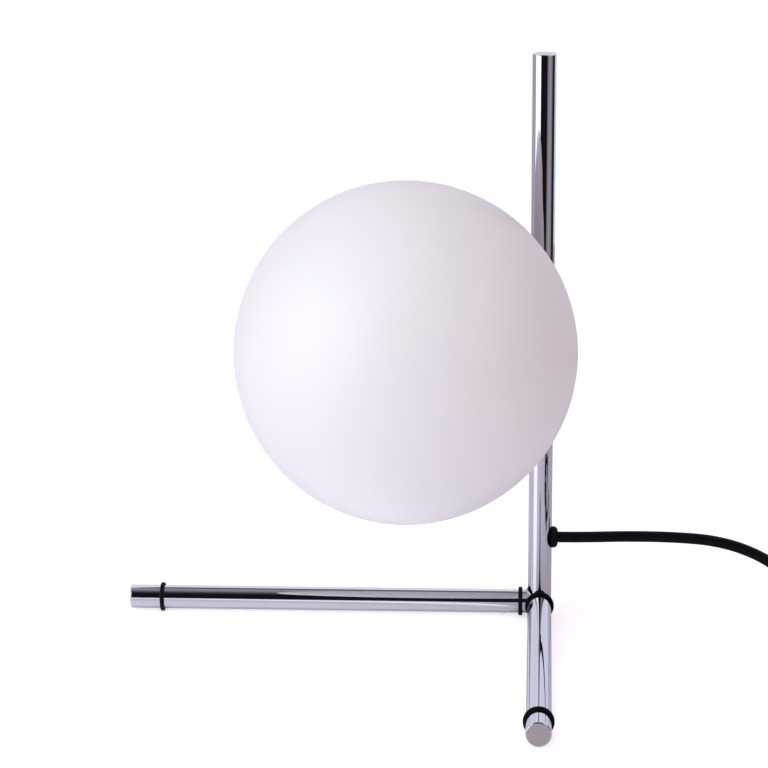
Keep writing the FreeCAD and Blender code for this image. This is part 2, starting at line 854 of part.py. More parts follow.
def arc_between(start, turn_point, end):
    """The arc that leaves start towards turn_point and arrives at end, both as far from turn_point."""
    middle = (start + end) / 2
    half_chord = (end - start).Length / 2
    tangent = (turn_point - start).Length
    rise = math.sqrt(max(tangent**2 - half_chord**2, 0))
    if rise < 1e-6:
        return Part.LineSegment(start, end).toShape()
    sagitta = half_chord * (tangent - half_chord) / rise
    through = middle + (turn_point - middle) * (sagitta / rise)
    return Part.Arc(start, through, end).toShape()


def rounded_run(points, share=0.45, radii=None):
    """Straight runs joined by tangent arcs as large as the share of the shorter run allows."""
    edges = []
    made = []
    last = points[0]
    for number in range(1, len(points) - 1):
        before, here, after = points[number - 1 : number + 2]
        into = (here - before).normalize()
        out = (after - here).normalize()
        half_turn = into.getAngle(out) / 2
        reach = share * min((here - before).Length, (after - here).Length)
        if radii and radii[number - 1]:
            reach = radii[number - 1] * math.tan(half_turn)
        start = here - into * reach
        end = here + out * reach
        if (start - last).Length > 1e-6:
            edges.append(Part.LineSegment(last, start).toShape())
        edges.append(arc_between(start, here, end))
        made.append(reach / math.tan(half_turn))
        last = end
    edges.append(Part.LineSegment(last, points[-1]).toShape())
    return Part.Wire(edges), made


def swept(label, path, radius):
    """A round solid along a path, as a feature of the document."""
    start = path.Edges[0]
    heading = start.tangentAt(start.FirstParameter)
    profile = Part.Wire([Part.Circle(start.valueAt(start.FirstParameter), heading, radius).toShape()])
    made = doc.addObject("Part::Feature", label)
    made.Label = label
    made.Shape = path.makePipeShell([profile], True, False)
    made.Placement = FreeCAD.Placement()
    share = made.Shape.Volume / (math.pi * radius**2 * path.Length)
    print(f"{label}: length {path.Length:.1f}, volume {share:.4f} of section times length")
    return made


def in_place(where, *points):
    """Points given in a place's own frame, as points of the document."""
    frame = sheet.evalExpression(formula(where))
    return [frame.multVec(Vector(*(value(number) for number in point))) for point in points]


def looped_pin(name, side):
    low, high = (f"{side} * pin_spacing / 2 + {half} * pin_loop / 2" for half in (-1, 1))
    tip = "base_back - pin_length"
    points = in_place(GLOBE, (0, low, "base_back"), (0, low, tip), (0, high, tip), (0, high, "base_back"))
    path, _ = rounded_run(points, radii=[value("pin_bend")] * 2)
    return swept(name, path, value("pin_wire / 2"))


bulb_pins = group("bulb_pins", looped_pin("bulb_pin_left", -1), looped_pin("bulb_pin_right", 1))

# Grommet: a domed flange bedded on the stem, a shank through its wall and a lip inside.
cord_grommet = turned_body(
    "cord_grommet",
    GROMMET,
    [
        (0, "tube_radius - grommet_bed"),
        ("grommet_diameter / 2", "tube_radius - grommet_bed"),
        ("grommet_diameter / 2", "nose"),
        (0, "nose"),
    ],
)
round_edges(cord_grommet, cord_grommet.Tip, rim("grommet_diameter / 2", low="tube_radius"), "grommet_round")
drill(cord_grommet, TUBE_WAY, "tube_radius + foot_clearance", "2 * tube_diameter")
sketch = new_sketch(cord_grommet, "XZ_Plane")
shank_radius = "(grommet_hole / 2 - press_clearance)"
add_polygon(
    sketch,
    [
        (0, "inner_lip_back"),
        ("grommet_hole / 2 + grommet_lip_rise", "inner_lip_back"),
        ("grommet_hole / 2 + grommet_lip_rise", "inner_lip_front"),
        (shank_radius, "inner_lip_front"),
        (shank_radius, "tube_radius + grommet_bed"),
        (0, "tube_radius + grommet_bed"),
    ],
)
revolve(cord_grommet, sketch)

# Leads: three cores side by side, up the stem, through the insert and out of the nipple.
CORE_NUMBERS = {"live_lead": -1, "earth_lead": 0, "neutral_lead": 1}


def lead(label, number):
    beside = -value("core_pitch") * number
    stem = Vector(value("stem_x"), value("stem_y"), 0)
    low = value("cord_height")
    points = [
        stem + Vector(value("inner_lip_back"), beside, low),
        stem + Vector(-value("core_offset"), beside, low),
        stem + Vector(-value("core_offset"), beside, low + value("6 * core_pitch")),
        *in_place(GLOBE, ("6 * core_pitch", f"{number} * core_pitch", 0), (0, f"{number} * core_pitch", 0)),
    ]
    radii = [value("core_bend"), None, None, value("nipple_bend")]
    if number:
        points += in_place(GLOBE, (0, f"{number} * core_pitch", "holder_back"))
    else:
        seat = "(holder_back - tag_bend)"
        points += in_place(GLOBE, (0, 0, seat), (f"{tab} - tag_thickness", 0, seat))
        radii.append(value("tag_bend"))
    path, _ = rounded_run(points, radii=radii)
    return swept(label, path, value("core_diameter / 2"))


leads = [lead(label, number) for label, number in CORE_NUMBERS.items()]

# Cord: free from the grommet to the switch, from the switch to the coil and from the coil to the plug.
# Its points are x to the right and y to the back of the stem's axis, and z above the table.


def cord_points(points):
    stem = Vector(value("stem_x"), value("stem_y"), 0)
    return [stem + Vector(*point) for point in points]


SWITCH_X = value("switch_side")
SWITCH_Z = value("split")
SWITCH_IN = -value("switch_front - switch_length / 2 + cord_seat")
SWITCH_OUT = -value("switch_front + switch_length / 2 - cord_seat")
COIL_Y = -value("coil_drop")
COIL_START = COIL_Y + value("coil_end")
LOW = value("cord_radius")
HIGH = value("cord_radius + layer_rise")
PLUG_BACK = -value("plug_front + plug_length")
PLUG_X = value("plug_x")
PLUG_Z = value("plug_radius")


def straight_way(x, y_start, z_start, y_end, z_end):
    """Four points a third of the way apart, the first two at one height and the last two at the other."""
    third = (y_end - y_start) / 3
    heights = (z_start, z_start, z_end, z_end)
    return [(x, y_start + number * third, height) for number, height in enumerate(heights)]


cord_runs = {
    "mains_cord_lead": [
        (value("nose"), 0, value("cord_height")),
        (30, 0, value("cord_height")),
        (58, 0, 56.6),
        (90, 0, 56.4),
        (119, -0.8, 54.5),
        (144, -4.5, 47.8),
        (164, -13, 37.6),
        (178, -27, 27.4),
        (186.5, -44, 18.6),
        (190.8, -62.5, 12.2),
        (SWITCH_X, -80.5, SWITCH_Z),
        (SWITCH_X, SWITCH_IN, SWITCH_Z),
    ],
    "mains_cord_link": straight_way(SWITCH_X, SWITCH_OUT, SWITCH_Z, COIL_START, LOW),
    "mains_cord_tail": straight_way(PLUG_X, COIL_START, HIGH, PLUG_BACK, PLUG_Z),
}
cords = []
for label, points in cord_runs.items():
    path, radii = rounded_run(cord_points(points))
    cords.append(swept(label, path, value("cord_radius")))
    print(f"{label}: radii {', '.join(f'{radius:.0f}' for radius in radii)}")


# Coil: turns that spiral in on the table, climb one layer in a half turn and spiral out again.


def coil_point(turned):
    """The point of the coil's line after so many turns, and the way it goes there."""
    middle = value("coil_turns") / 2
    rise = value("layer_rise")
    climbed = min(max(2 * (turned - middle) + 0.5, 0), 1)
    radius = value("coil_radius") - rise * (middle - abs(turned - middle))
    height = LOW + rise * climbed**2 * (3 - 2 * climbed)
    angle = math.pi + math.tau * turned
    return Vector(value("coil_x") + radius * math.cos(angle), COIL_Y + radius * math.sin(angle), height)


def coil_heading(turned):
    step = 1e-4
    return (coil_point(turned + step) - coil_point(turned - step)).normalize()


def biarc(start, start_way, end, end_way):
    """Two arcs that leave start along start_way and arrive at end along end_way."""
    across = end - start
    both = start_way + end_way
    square = both.dot(both) - 4
    mixed = across.dot(both)
    if abs(square) < 1e-9:
        reach = across.dot(across) / (2 * mixed)
    else:
        reach = (mixed - math.sqrt(mixed**2 - square * across.dot(across))) / square
    first = start + start_way * reach
    second = end - end_way * reach
    meeting = (first + second) / 2
    return [arc_between(start, first, meeting), arc_between(meeting, second, end)]


def coil_path():
    stem = Vector(value("stem_x"), value("stem_y"), 0)
    quarters = round(4 * value("coil_turns"))
    knots = [quarter / 4 for quarter in range(quarters + 1)]
    points = [stem + coil_point(knot) for knot in knots]
    ways = [coil_heading(knot) for knot in knots]
    ways[0] = Vector(0, -1, 0)
    ways[-1] = Vector(0, 1, 0)
    edges = []
    for number in range(quarters):
        edges += biarc(points[number], ways[number], points[number + 1], ways[number + 1])
    end = Vector(0, value("coil_end"), 0)
    first = Part.LineSegment(points[0] + end, points[0]).toShape()
    last = Part.LineSegment(points[-1], points[-1] + end).toShape()
    return Part.Wire([first, *edges, last])


def least_self_gap(path, radius):
    """The least space between stretches of the path that lie more than half a turn apart."""
    count = 900
    step = path.Length / count
    points = path.discretize(Number=count + 1)
    apart = round(value("coil_radius") * 2 / step)
    least = min(
        (points[one] - points[other]).Length
        for one in range(0, count + 1, 2)
        for other in range(one + apart, count + 1, 2)
    )
    return least - 2 * radius


coil_line = coil_path()
cords.append(swept("mains_cord_coil", coil_line, value("cord_radius")))
print(f"mains_cord_coil: least gap to itself {least_self_gap(coil_line, value('cord_radius')):.2f}")

# Switch on the cord: two bowed shells, a rocker on trunnions, two screws and two terminals.
BOSSES = [
    ("-boss_spread", "switch_width / 2 - boss_inset"),
    ("boss_spread", "-switch_width / 2 + boss_inset"),
]


def switch_shell(label, upwards):
    """One shell: the outline from the split plane, hollowed, with two bosses and the cord's way along it."""
    body = new_body(label, SWITCH)
    sketch = new_sketch(body, "XY_Plane", "split")
    add_polygon(sketch, rectangle("switch_length", "switch_end_width"), {0: "switch_bow", 2: "switch_bow"})
    blank = pad(body, sketch, "split", back=not upwards)
    level = value("switch_height") if upwards else 0

    def on_face(edge):
        return abs(edge.BoundBox.ZMin - level) < 0.01 and abs(edge.BoundBox.ZMax - level) < 0.01

    sides = round_edges(body, blank, upright("split"), "switch_end_round")
    round_edges(body, sides, on_face, "switch_edge_round")
    sketch = new_sketch(body, "XY_Plane", "split")
    add_polygon(sketch, rectangle("cavity_length", "cavity_end_width"), {0: "cavity_bow", 2: "cavity_bow"})
    pocket(body, sketch, "split - switch_wall", back=upwards)
    for u, v in BOSSES:
        sketch = new_sketch(body, "XY_Plane", "split")
        add_circle(sketch, "boss_diameter / 2", u, v)
        pad(body, sketch, "split - switch_wall", back=not upwards)
    cord_way = place("-switch_length", 0, "split", (BACK, 90))
    drill(body, cord_way, "cord_radius + base_clearance", "2 * switch_length")
    return body


switch_base = switch_shell("switch_base", upwards=False)
switch_cover = switch_shell("switch_cover", upwards=True)
for u, v in BOSSES:
    drill(switch_base, place(u, v, 0), "switch_screw_diameter / 2 + screw_clearance", "split")
    drill(switch_base, place(u, v, 0), "switch_screw_head / 2 + base_clearance", "switch_screw_sink")
    tap = "switch_screw_diameter / 2 + press_clearance"
    drill(switch_cover, place(u, v, 0), tap, "switch_height - switch_wall")

# The cover also holds the rocker: a window and two cheeks with the holes of its trunnions.
sketch = new_sketch(switch_cover, "XY_Plane", "switch_height")
add_polygon(sketch, rectangle("rocker_length + 2 * rocker_clearance", "rocker_width + 2 * rocker_clearance"))
pocket(switch_cover, sketch, "2 * switch_wall")
cheek_inside = "(rocker_width / 2 + rocker_clearance)"
cheek_outside = f"({cheek_inside} + switch_wall)"
cheek_top = "(switch_height - switch_wall / 2)"
for side in (-1, 1):
    sketch = new_sketch(switch_cover, "YZ_Plane")
    add_polygon(
        sketch,
        [
            (f"{side} * {cheek_inside}", "pivot - trunnion_diameter"),
            (f"{side} * {cheek_outside}", "pivot - trunnion_diameter"),
            (f"{side} * {cheek_outside}", cheek_top),
            (f"{side} * {cheek_inside}", cheek_top),
        ],
    )
    pad(switch_cover, sketch, "cheek_length", symmetric=True)
drill(
    switch_cover,
    place(0, cheek_outside, "pivot", (RIGHT, 90)),
    "trunnion_diameter / 2 + running_clearance",
    f"2 * {cheek_outside}",
)

# Rocker: a key whose ends are round about its trunnions and whose top dips in the middle.
ROCKER = shifted(SWITCH, 0, 0, "pivot", (BACK, "-rocker_tilt"))
rocker_body = new_body("switch_rocker_body", ROCKER)
sketch = new_sketch(rocker_body, "XZ_Plane")
centre_rise = "(switch_height - pivot + rocker_proud)"
end_rise = f"({centre_rise} + rocker_radius * tan(rocker_tilt * 1deg))"
add_polygon(
    sketch,
    [
        ("-rocker_radius", "-rocker_depth"),
        ("rocker_radius", "-rocker_depth"),
        ("rocker_radius", end_rise),
        (0, centre_rise),
        ("-rocker_radius", end_rise),
    ],
)
pad(rocker_body, sketch, "rocker_width", symmetric=True)
rocker_round = cylinder(
    "switch_rocker_round",
    shifted(ROCKER, 0, "rocker_width", 0, (RIGHT, 90)),
    "rocker_radius",
    "2 * rocker_width",
)
trunnion_end = f"({cheek_outside} - trunnion_end_gap)"
trunnions = cylinder(
    "switch_rocker_trunnions",
    shifted(ROCKER, 0, trunnion_end, 0, (RIGHT, 90)),
    "trunnion_diameter / 2",
    f"2 * {trunnion_end}",
)
switch_rocker = fuse("switch_rocker", common("switch_rocker_key", rocker_body, rocker_round), trunnions)

switch_screws = group(
    "switch_screws",
    *(
        slotted_screw(
            f"switch_screw_{number}",
            shifted(SWITCH, u, v, "switch_screw_sink"),
            "switch_screw_head",
            "switch_screw_diameter",
            "split",
        )
        for number, (u, v) in enumerate(BOSSES, start=1)
    ),
)
switch_terminals = group(
    "switch_terminals",
    *(
        box(
            f"switch_terminal_{number}",
            shifted(SWITCH, f"{side} * terminal_spread", 0, "switch_wall"),
            "terminal_size",
            "terminal_size",
            "terminal_height",
        )
        for number, side in enumerate((-1, 1), start=1)
    ),
)

# Plug: a round front with grooves for the earth clips and guides, finger hollows and a ribbed strain relief.
grip_end = "(-plug_rim - plug_grip)"
plug_body = turned_body(
    "plug_body",
    PLUG,
    [
        (0, 0),
        ("plug_radius - plug_chamfer", 0),
        ("plug_radius", "-plug_chamfer"),
        ("plug_radius", "-plug_rim"),
        ("plug_grip_diameter / 2", grip_end),
        ("relief_diameter / 2", f"{grip_end} - relief_step"),
        ("relief_end / 2", "-plug_length"),
        (0, "-plug_length"),
    ],
    {3: "-plug_grip / 6"},
)
round_edges(plug_body, plug_body.Tip, rim("plug_radius", high="-plug_rim / 2"), "plug_shoulder")
for side in (-1, 1):
    drill(
        plug_body,
        place(
            f"{side} * (plug_radius + hollow_diameter / 2 - hollow_depth)",
            "plug_radius",
            "-plug_rim - hollow_place",
            (RIGHT, 90),
        ),
        "hollow_diameter / 2",
        "plug_diameter",
    )
    drill(
        plug_body,
        place(f"{side} * plug_pin_spacing / 2", 0, "-plug_pin_depth"),
        "plug_pin_root / 2 + press_clearance",
        "plug_pin_depth",
    )
    sketch = new_sketch(plug_body, "XY_Plane")
    add_polygon(sketch, rectangle("2 * guide_depth", "guide_width", f"{side} * plug_radius"))
    pocket(plug_body, sketch, "clip_groove_length")
    sketch = new_sketch(plug_body, "XY_Plane")
    add_polygon(sketch, rectangle("clip_groove_width", "2 * clip_groove_depth", 0, f"{side} * plug_radius"))
    pocket(plug_body, sketch, "clip_groove_length")

sketch = new_sketch(plug_body, "XZ_Plane")
rib_start = f"({grip_end} - relief_step - rib_pitch + rib_width)"
add_polygon(
    sketch,
    [
        ("cord_radius + relief_wall", rib_start),
        ("relief_diameter", rib_start),
        ("relief_diameter", f"{rib_start} - rib_width"),
        ("cord_radius + relief_wall", f"{rib_start} - rib_width"),
    ],
)
groove = revolve(plug_body, sketch, "Groove")
pattern = plug_body.newObject("PartDesign::LinearPattern", "plug_body_grooves")
pattern.Originals = [groove]
pattern.Direction = (sketch, ["V_Axis"])
pattern.Reversed = True
pattern.Occurrences = 5
pattern.setExpression("Length", formula("4 * rib_pitch"))
plug_body.Tip = pattern


def plug_pin(name, side):
    face = shifted(PLUG, f"{side} * plug_pin_spacing / 2", 0, 0)
    shank = cylinder(f"{name}_shank", face, "plug_pin_diameter / 2", "plug_pin_length")
    behind = shifted(face, 0, 0, "-plug_pin_depth")
    root = cylinder(f"{name}_root", behind, "plug_pin_root / 2", "plug_pin_depth")
    tip = bind(
        doc.addObject("Part::Cone", f"{name}_tip"),
        f"{name}_tip",
        shifted(face, 0, 0, "plug_pin_length"),
        Radius1="plug_pin_diameter / 2",
        Radius2="plug_pin_diameter / 4",
        Height="plug_pin_diameter / 5",
    )
    return fuse(name, shank, root, tip)


plug_pins = group("plug_pins", plug_pin("plug_pin_left", -1), plug_pin("plug_pin_right", 1))


def earth_clip(name, side):
    """A bowed strip in its groove, a little proud of the plug's round side at its middle."""
    clip = new_body(name, PLUG)
    sketch = new_sketch(clip, "YZ_Plane")
    low = f"{side} * (plug_radius - clip_groove_depth + press_clearance)"
    high = f"({low} + {side} * clip_bow)"
    thick = f"{side} * tag_thickness"
    crest = "-clip_crest"
    root = "-clip_groove_length + clip_end_gap"
    add_polygon(
        sketch,
        [
            (low, "-clip_end_gap"),
            (high, crest),
            (low, root),
            (f"{low} + {thick}", root),
            (f"{high} + {thick}", crest),
            (f"{low} + {thick}", "-clip_end_gap"),
        ],
    )
    pad(clip, sketch, "clip_width", symmetric=True)
    return clip


plug_earth_clips = group(
    "plug_earth_clips", earth_clip("earth_clip_top", -1), earth_clip("earth_clip_bottom", 1)
)

NODES = [
    *tubes.values(),
    *caps,
    corner_joint,
    corner_set_screws,
    *foot_rings,
    stem_insert,
    threaded_nipple,
    stem_saddle,
    globe_fitter,
    glass_globe,
    globe_collar,
    globe_seal,
    holder_bridge,
    nipple_nut,
    earth_tag,
    lamp_holder,
    holder_contacts,
    holder_screws,
    bulb_capsule,
    bulb_base,
    bulb_pins,
    cord_grommet,
    *leads,
    *cords,
    switch_base,
    switch_cover,
    switch_rocker,
    switch_screws,
    switch_terminals,
    plug_body,
    plug_pins,
    plug_earth_clips,
]

doc.recompute()
for item in doc.Objects:
    if {"Invalid", "Error"} & set(item.State):
        raise RuntimeError(f"{item.Label} failed: {item.State}")
for node in NODES:
    if node.Shape.isNull() or not node.Shape.isValid() or not node.Shape.Solids:
        raise RuntimeError(f"{node.Label} has no valid solid")

os.makedirs("parts", exist_ok=True)
for node in NODES:
    node.Shape.exportStep(f"parts/{node.Label}.step")
cord_length = sum(cord.Shape.Volume for cord in cords) / (math.pi * LOW**2)
print(f"{len(NODES)} nodes, cord {cord_length:.0f} mm")
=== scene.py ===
import json
import math

import bmesh
import bpy
from mathutils import Matrix, Vector


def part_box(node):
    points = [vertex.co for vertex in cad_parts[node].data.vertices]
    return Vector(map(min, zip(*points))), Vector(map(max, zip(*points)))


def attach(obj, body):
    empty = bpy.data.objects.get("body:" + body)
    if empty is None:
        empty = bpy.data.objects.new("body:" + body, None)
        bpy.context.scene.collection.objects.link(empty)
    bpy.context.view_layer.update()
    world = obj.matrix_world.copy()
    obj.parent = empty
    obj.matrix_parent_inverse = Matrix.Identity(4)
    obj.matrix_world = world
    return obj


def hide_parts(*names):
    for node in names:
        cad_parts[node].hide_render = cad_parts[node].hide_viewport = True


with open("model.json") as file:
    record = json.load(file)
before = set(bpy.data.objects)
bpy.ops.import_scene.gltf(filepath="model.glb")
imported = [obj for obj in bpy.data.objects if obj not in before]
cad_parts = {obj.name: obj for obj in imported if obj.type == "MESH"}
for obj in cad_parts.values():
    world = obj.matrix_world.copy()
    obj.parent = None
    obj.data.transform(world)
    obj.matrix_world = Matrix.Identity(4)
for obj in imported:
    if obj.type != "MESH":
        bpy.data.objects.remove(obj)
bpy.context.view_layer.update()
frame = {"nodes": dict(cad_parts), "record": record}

NODES = frame["nodes"]
MM = 0.001


def middle(node):
    low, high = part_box(node)
    return (low + high) / 2


# The stem's axis on the table. Places below are measured from it: x right, y back, z up.
STEM = Vector((middle("stem_top_cap").x, middle("stem_top_cap").y, 0))
UP, LEFT, FRONT = Vector((0, 0, 1)), Vector((-1, 0, 0)), Vector((0, -1, 0))
GLOBE_AXIS = (LEFT + FRONT).normalized()
GLOBE_HEIGHT = 205 * MM
GLOBE_REACH = 123 * MM
GLOBE_RADIUS = 110 * MM
GLASS_WALL = 3 * MM
GLOBE_CENTRE = STEM + GLOBE_AXIS * GLOBE_REACH + UP * GLOBE_HEIGHT
GLOBE_TURN = GLOBE_AXIS.to_track_quat("Z", "Y").to_matrix()
MOUTH_RADIUS = 24 * MM


def place(x, y, z):
    return STEM + Vector((x, y, z)) * MM


def new_object(name, data):
    made = bpy.data.objects.new(name, data)
    bpy.context.collection.objects.link(made)
    return made


# Camera at the photograph's viewpoint.
CAMERA_PLACE = place(-1.63, -1947.73, 669.76)
CAMERA_YAW = math.radians(-3.055)
CAMERA_PITCH = math.radians(14.603)
CAMERA_ROLL = math.radians(-0.247)
CAMERA_LENS = 140.73


def make_camera():
    data = bpy.data.cameras.new("camera")
    data.lens = CAMERA_LENS
    data.sensor_width = 36
    data.clip_end = 20
    camera = new_object("camera", data)
    forward = Vector(
        (
            math.sin(CAMERA_YAW) * math.cos(CAMERA_PITCH),
            math.cos(CAMERA_YAW) * math.cos(CAMERA_PITCH),
            -math.sin(CAMERA_PITCH),
        )
    )
    right = Vector((math.cos(CAMERA_YAW), -math.sin(CAMERA_YAW), 0))
    up = right.cross(forward)
    rolled_right = math.cos(CAMERA_ROLL) * right + math.sin(CAMERA_ROLL) * up
    rolled_up = math.cos(CAMERA_ROLL) * up - math.sin(CAMERA_ROLL) * right
    turn = Matrix((rolled_right, rolled_up, -forward)).transposed()
    camera.matrix_world = Matrix.Translation(CAMERA_PLACE) @ turn.to_4x4()
    bpy.context.scene.camera = camera


# Helpers for the nodes of materials and of the world.


class NodeTree:
    """Short calls for the nodes of a material or a world."""

    def __init__(self, owner):
        owner.use_nodes = True
        self.nodes = owner.node_tree.nodes
        self.links = owner.node_tree.links

    def set(self, node, socket, level):
        target = node.inputs[socket]
        if isinstance(level, bpy.types.NodeSocket):
            self.links.new(level, target)
        else:
            target.default_value = level

    def node(self, kind, output=0, properties=(), **sockets):
        made = self.nodes.new(f"ShaderNode{kind}")
        for prop, level in dict(properties).items():
            setattr(made, prop, level)
        for socket, level in sockets.items():
            key = int(socket[1:]) if socket[0] == "i" and socket[1:].isdigit() else socket.replace("_", " ")
            self.set(made, key, level)
        return made.outputs[output]

    def ramp(self, factor, low, high, start=0.0, end=1.0):
        """From low to high while factor runs from start to end, and level outside."""
        return self.node("MapRange", Value=factor, From_Min=start, From_Max=end, To_Min=low, To_Max=high)

    def mixed(self, factor, first, second):
        made = self.nodes.new("ShaderNodeMix")
        made.data_type = "RGBA"
        self.set(made, 0, factor)
        for socket, colour in ((6, first), (7, second)):
            self.set(made, socket, (*colour, 1) if isinstance(colour, tuple) else colour)
        return made.outputs[2]

    def math(self, operation, first, second=0.0):
        return self.node("Math", 0, {"operation": operation}, i0=first, i1=second)

    def product(self, first, *others):
        for other in others:
            first = self.math("MULTIPLY", first, other)
        return first


class Shader(NodeTree):
    """A material with a Principled shader, patterned by its object's coordinates."""

    def __init__(self, name, colour, roughness, **sockets):
        self.material = bpy.data.materials.new(name)
        super().__init__(self.material)
        self.surface = self.nodes["Principled BSDF"]
        self.set(self.surface, "Base Color", (*colour, 1))
        self.set(self.surface, "Roughness", roughness)
        for socket, level in sockets.items():
            self.set(self.surface, socket.replace("_", " "), level)
        self.coordinates = self.node("TexCoord", "Object")

    def from_point(self, point):
        """The way from a point of the scene, in metres."""
        return self.node("VectorMath", 0, {"operation": "SUBTRACT"}, i0=self.coordinates, i1=tuple(point))

    def noise(self, scale, detail, vector=None):
        return self.node("TexNoise", Vector=vector or self.coordinates, Scale=scale, Detail=detail)

    def bump(self, height, distance):
        self.set(self.surface, "Normal", self.node("Bump", Height=height, Distance=distance))


def chrome():
    """A mirror with a slight haze, and wipe marks that run along its height."""
    shader = Shader("chrome", (0.6, 0.61, 0.66), 0.03, Metallic=1)
    haze = shader.noise(60, 4)
    wipe = shader.noise(900, 2, shader.node("Mapping", Vector=shader.coordinates, Scale=(1, 1, 0.04)))
    roughness = shader.product(shader.ramp(haze, 0.5, 1.4, 0.3, 0.7), shader.ramp(wipe, 0.02, 0.045))
    shader.set(shader.surface, "Roughness", roughness)
    shader.bump(shader.noise(35, 1), 0.00002)
    return shader.material


def turned_face(centre, name, colour):
    """Satin chrome of an end face, with the fine rings of a lathe round its centre."""
    shader = Shader(name, colour, 0.36, Metallic=1)
    distance = shader.node("VectorMath", 1, {"operation": "LENGTH"}, i0=shader.from_point(centre))
    way = shader.product(distance, 9000)
    rings = shader.node("TexNoise", 0, {"noise_dimensions": "1D"}, W=way, Scale=1)
    shader.set(shader.surface, "Roughness", shader.ramp(rings, 0.28, 0.44))
    shader.bump(rings, 0.00001)
    return shader.material


def rubber(name, colour, roughness):
    shader = Shader(name, colour, roughness, Specular_IOR_Level=0.08)
    cloud = shader.noise(400, 5)
    grain = shader.noise(6000, 2)
    shader.set(shader.surface, "Base Color", shader.mixed(cloud, colour, tuple(1.6 * c for c in colour)))
    shader.set(shader.surface, "Roughness", shader.ramp(cloud, roughness - 0.06, roughness + 0.1, 0.3, 0.7))
    shader.bump(grain, 0.00002)
    return shader.material


def opal_glass():
    shader = Shader(
        "opal_glass",
        (0.9, 0.885, 0.905),
        0.42,
        Subsurface_Weight=0.25,
        Subsurface_Scale=0.01,
        Subsurface_Radius=(1.0, 0.95, 0.9),
        Specular_IOR_Level=0.35,
    )
    cloud = shader.noise(9, 2)
    etch = shader.noise(5000, 2)
    shader.set(shader.surface, "Base Color", shader.mixed(cloud, (0.885, 0.872, 0.893), (0.905, 0.895, 0.91)))
    shader.set(shader.surface, "Roughness", shader.ramp(etch, 0.36, 0.48))
    shader.bump(etch, 0.000006)
    return shader.material


def metal(name, dark, light, roughness):
    shader = Shader(name, dark, roughness, Metallic=1)
    cloud = shader.noise(900, 4)
    shader.set(shader.surface, "Base Color", shader.mixed(cloud, dark, light))
    shader.set(shader.surface, "Roughness", shader.ramp(cloud, roughness - 0.08, roughness + 0.1, 0.3, 0.7))
    shader.bump(shader.noise(3600, 2), 0.00001)
    return shader.material


def moulded(name, dark, light, roughness, grain=2500):
    """Plastic or ceramic with a fine grain and a slightly cloudy colour."""
    shader = Shader(name, dark, roughness)
    cloud = shader.noise(120, 3)
    fine = shader.noise(grain, 3)
    shader.set(shader.surface, "Base Color", shader.mixed(cloud, dark, light))
    shader.set(shader.surface, "Roughness", shader.ramp(fine, roughness - 0.07, roughness + 0.07, 0.3, 0.7))
    shader.bump(fine, 0.00004)
    return shader.material


def clear_glass():
    shader = Shader("clear_glass", (0.97, 0.98, 0.99), 0.02, Transmission_Weight=1.0, IOR=1.47)
    shader.bump(shader.noise(80, 2), 0.00003)
    return shader.material


MATERIALS = {
    "chrome": chrome(),
    "black_rubber": rubber("black_rubber", (0.0032, 0.0028, 0.0042), 0.55),
    "opal_glass": opal_glass(),
    "clear_glass": clear_glass(),
    "black_plastic": moulded("black_plastic", (0.009, 0.009, 0.01), (0.014, 0.014, 0.016), 0.42),
    "white_plastic": moulded("white_plastic", (0.76, 0.755, 0.73), (0.8, 0.795, 0.77), 0.4),
    "ceramic": moulded("ceramic", (0.76, 0.72, 0.63), (0.82, 0.79, 0.71), 0.62, 1500),
    "brass": metal("brass", (0.45, 0.31, 0.11), (0.6, 0.43, 0.17), 0.3),
    "plated_steel": metal("plated_steel", (0.36, 0.37, 0.38), (0.5, 0.51, 0.52), 0.34),
    "nickel": metal("nickel", (0.55, 0.54, 0.52), (0.64, 0.63, 0.61), 0.2),
    "brown_core": moulded("brown_core", (0.1, 0.04, 0.02), (0.13, 0.055, 0.025), 0.45),
    "blue_core": moulded("blue_core", (0.02, 0.1, 0.32), (0.03, 0.13, 0.38), 0.45),
    "earth_core": moulded("earth_core", (0.1, 0.32, 0.03), (0.6, 0.55, 0.03), 0.45),
    "cord_sheath": rubber("cord_sheath", (0.0032, 0.0028, 0.0042), 0.42),
}


def dress_nodes():
    """Each CAD node takes the material of its slot in the record."""
    for part in frame["record"]["subparts"]:
        data = NODES[part["node"]].data
        data.materials.clear()
        data.materials.append(MATERIALS[part["material_slot"]])


# Cord, in two free stretches: from the stem to the switch, and from the switch over the coil to the plug.
CORD_DIAMETER = 7.5
LOW = CORD_DIAMETER / 2
SWITCH_X, SWITCH_Y = 192, -122
SWITCH_CORD_HEIGHT = 9.5
PLUG_CORD_HEIGHT = 18.5
COIL_PLAY = 0.5
LAYER_RISE = CORD_DIAMETER + COIL_PLAY
COIL_RADIUS = 53
COIL_TURNS = 5.5
COIL_X = SWITCH_X + COIL_RADIUS
COIL_Y = -204
COIL_STEPS = 16
PLUG_X = COIL_X + COIL_RADIUS
LEAD_ROUTE = [
    (12, 0, 55.5),
    (30, 0, 55.5),
    (58, 0, 56.6),
    (90, 0, 56.4),
    (119, -0.8, 54.5),
    (144, -4.5, 47.8),
    (164, -13, 37.6),
    (178, -27, 27.4),
    (186.5, -44, 18.6),
    (190.8, -62.5, 12.2),
    (SWITCH_X, -80.5, SWITCH_CORD_HEIGHT),
    (SWITCH_X, -96, SWITCH_CORD_HEIGHT),
]
LINK_ROUTE = [
    (SWITCH_X, -148, SWITCH_CORD_HEIGHT),
    (SWITCH_X, -164, SWITCH_CORD_HEIGHT),
    (SWITCH_X, -180, LOW),
    (SWITCH_X, -196, LOW),
]
TAIL_ROUTE = [
    (PLUG_X, -196, LOW + LAYER_RISE),
    (PLUG_X, -177.33, LOW + LAYER_RISE),
    (PLUG_X, -158.67, PLUG_CORD_HEIGHT),
    (PLUG_X, -140, PLUG_CORD_HEIGHT),
]

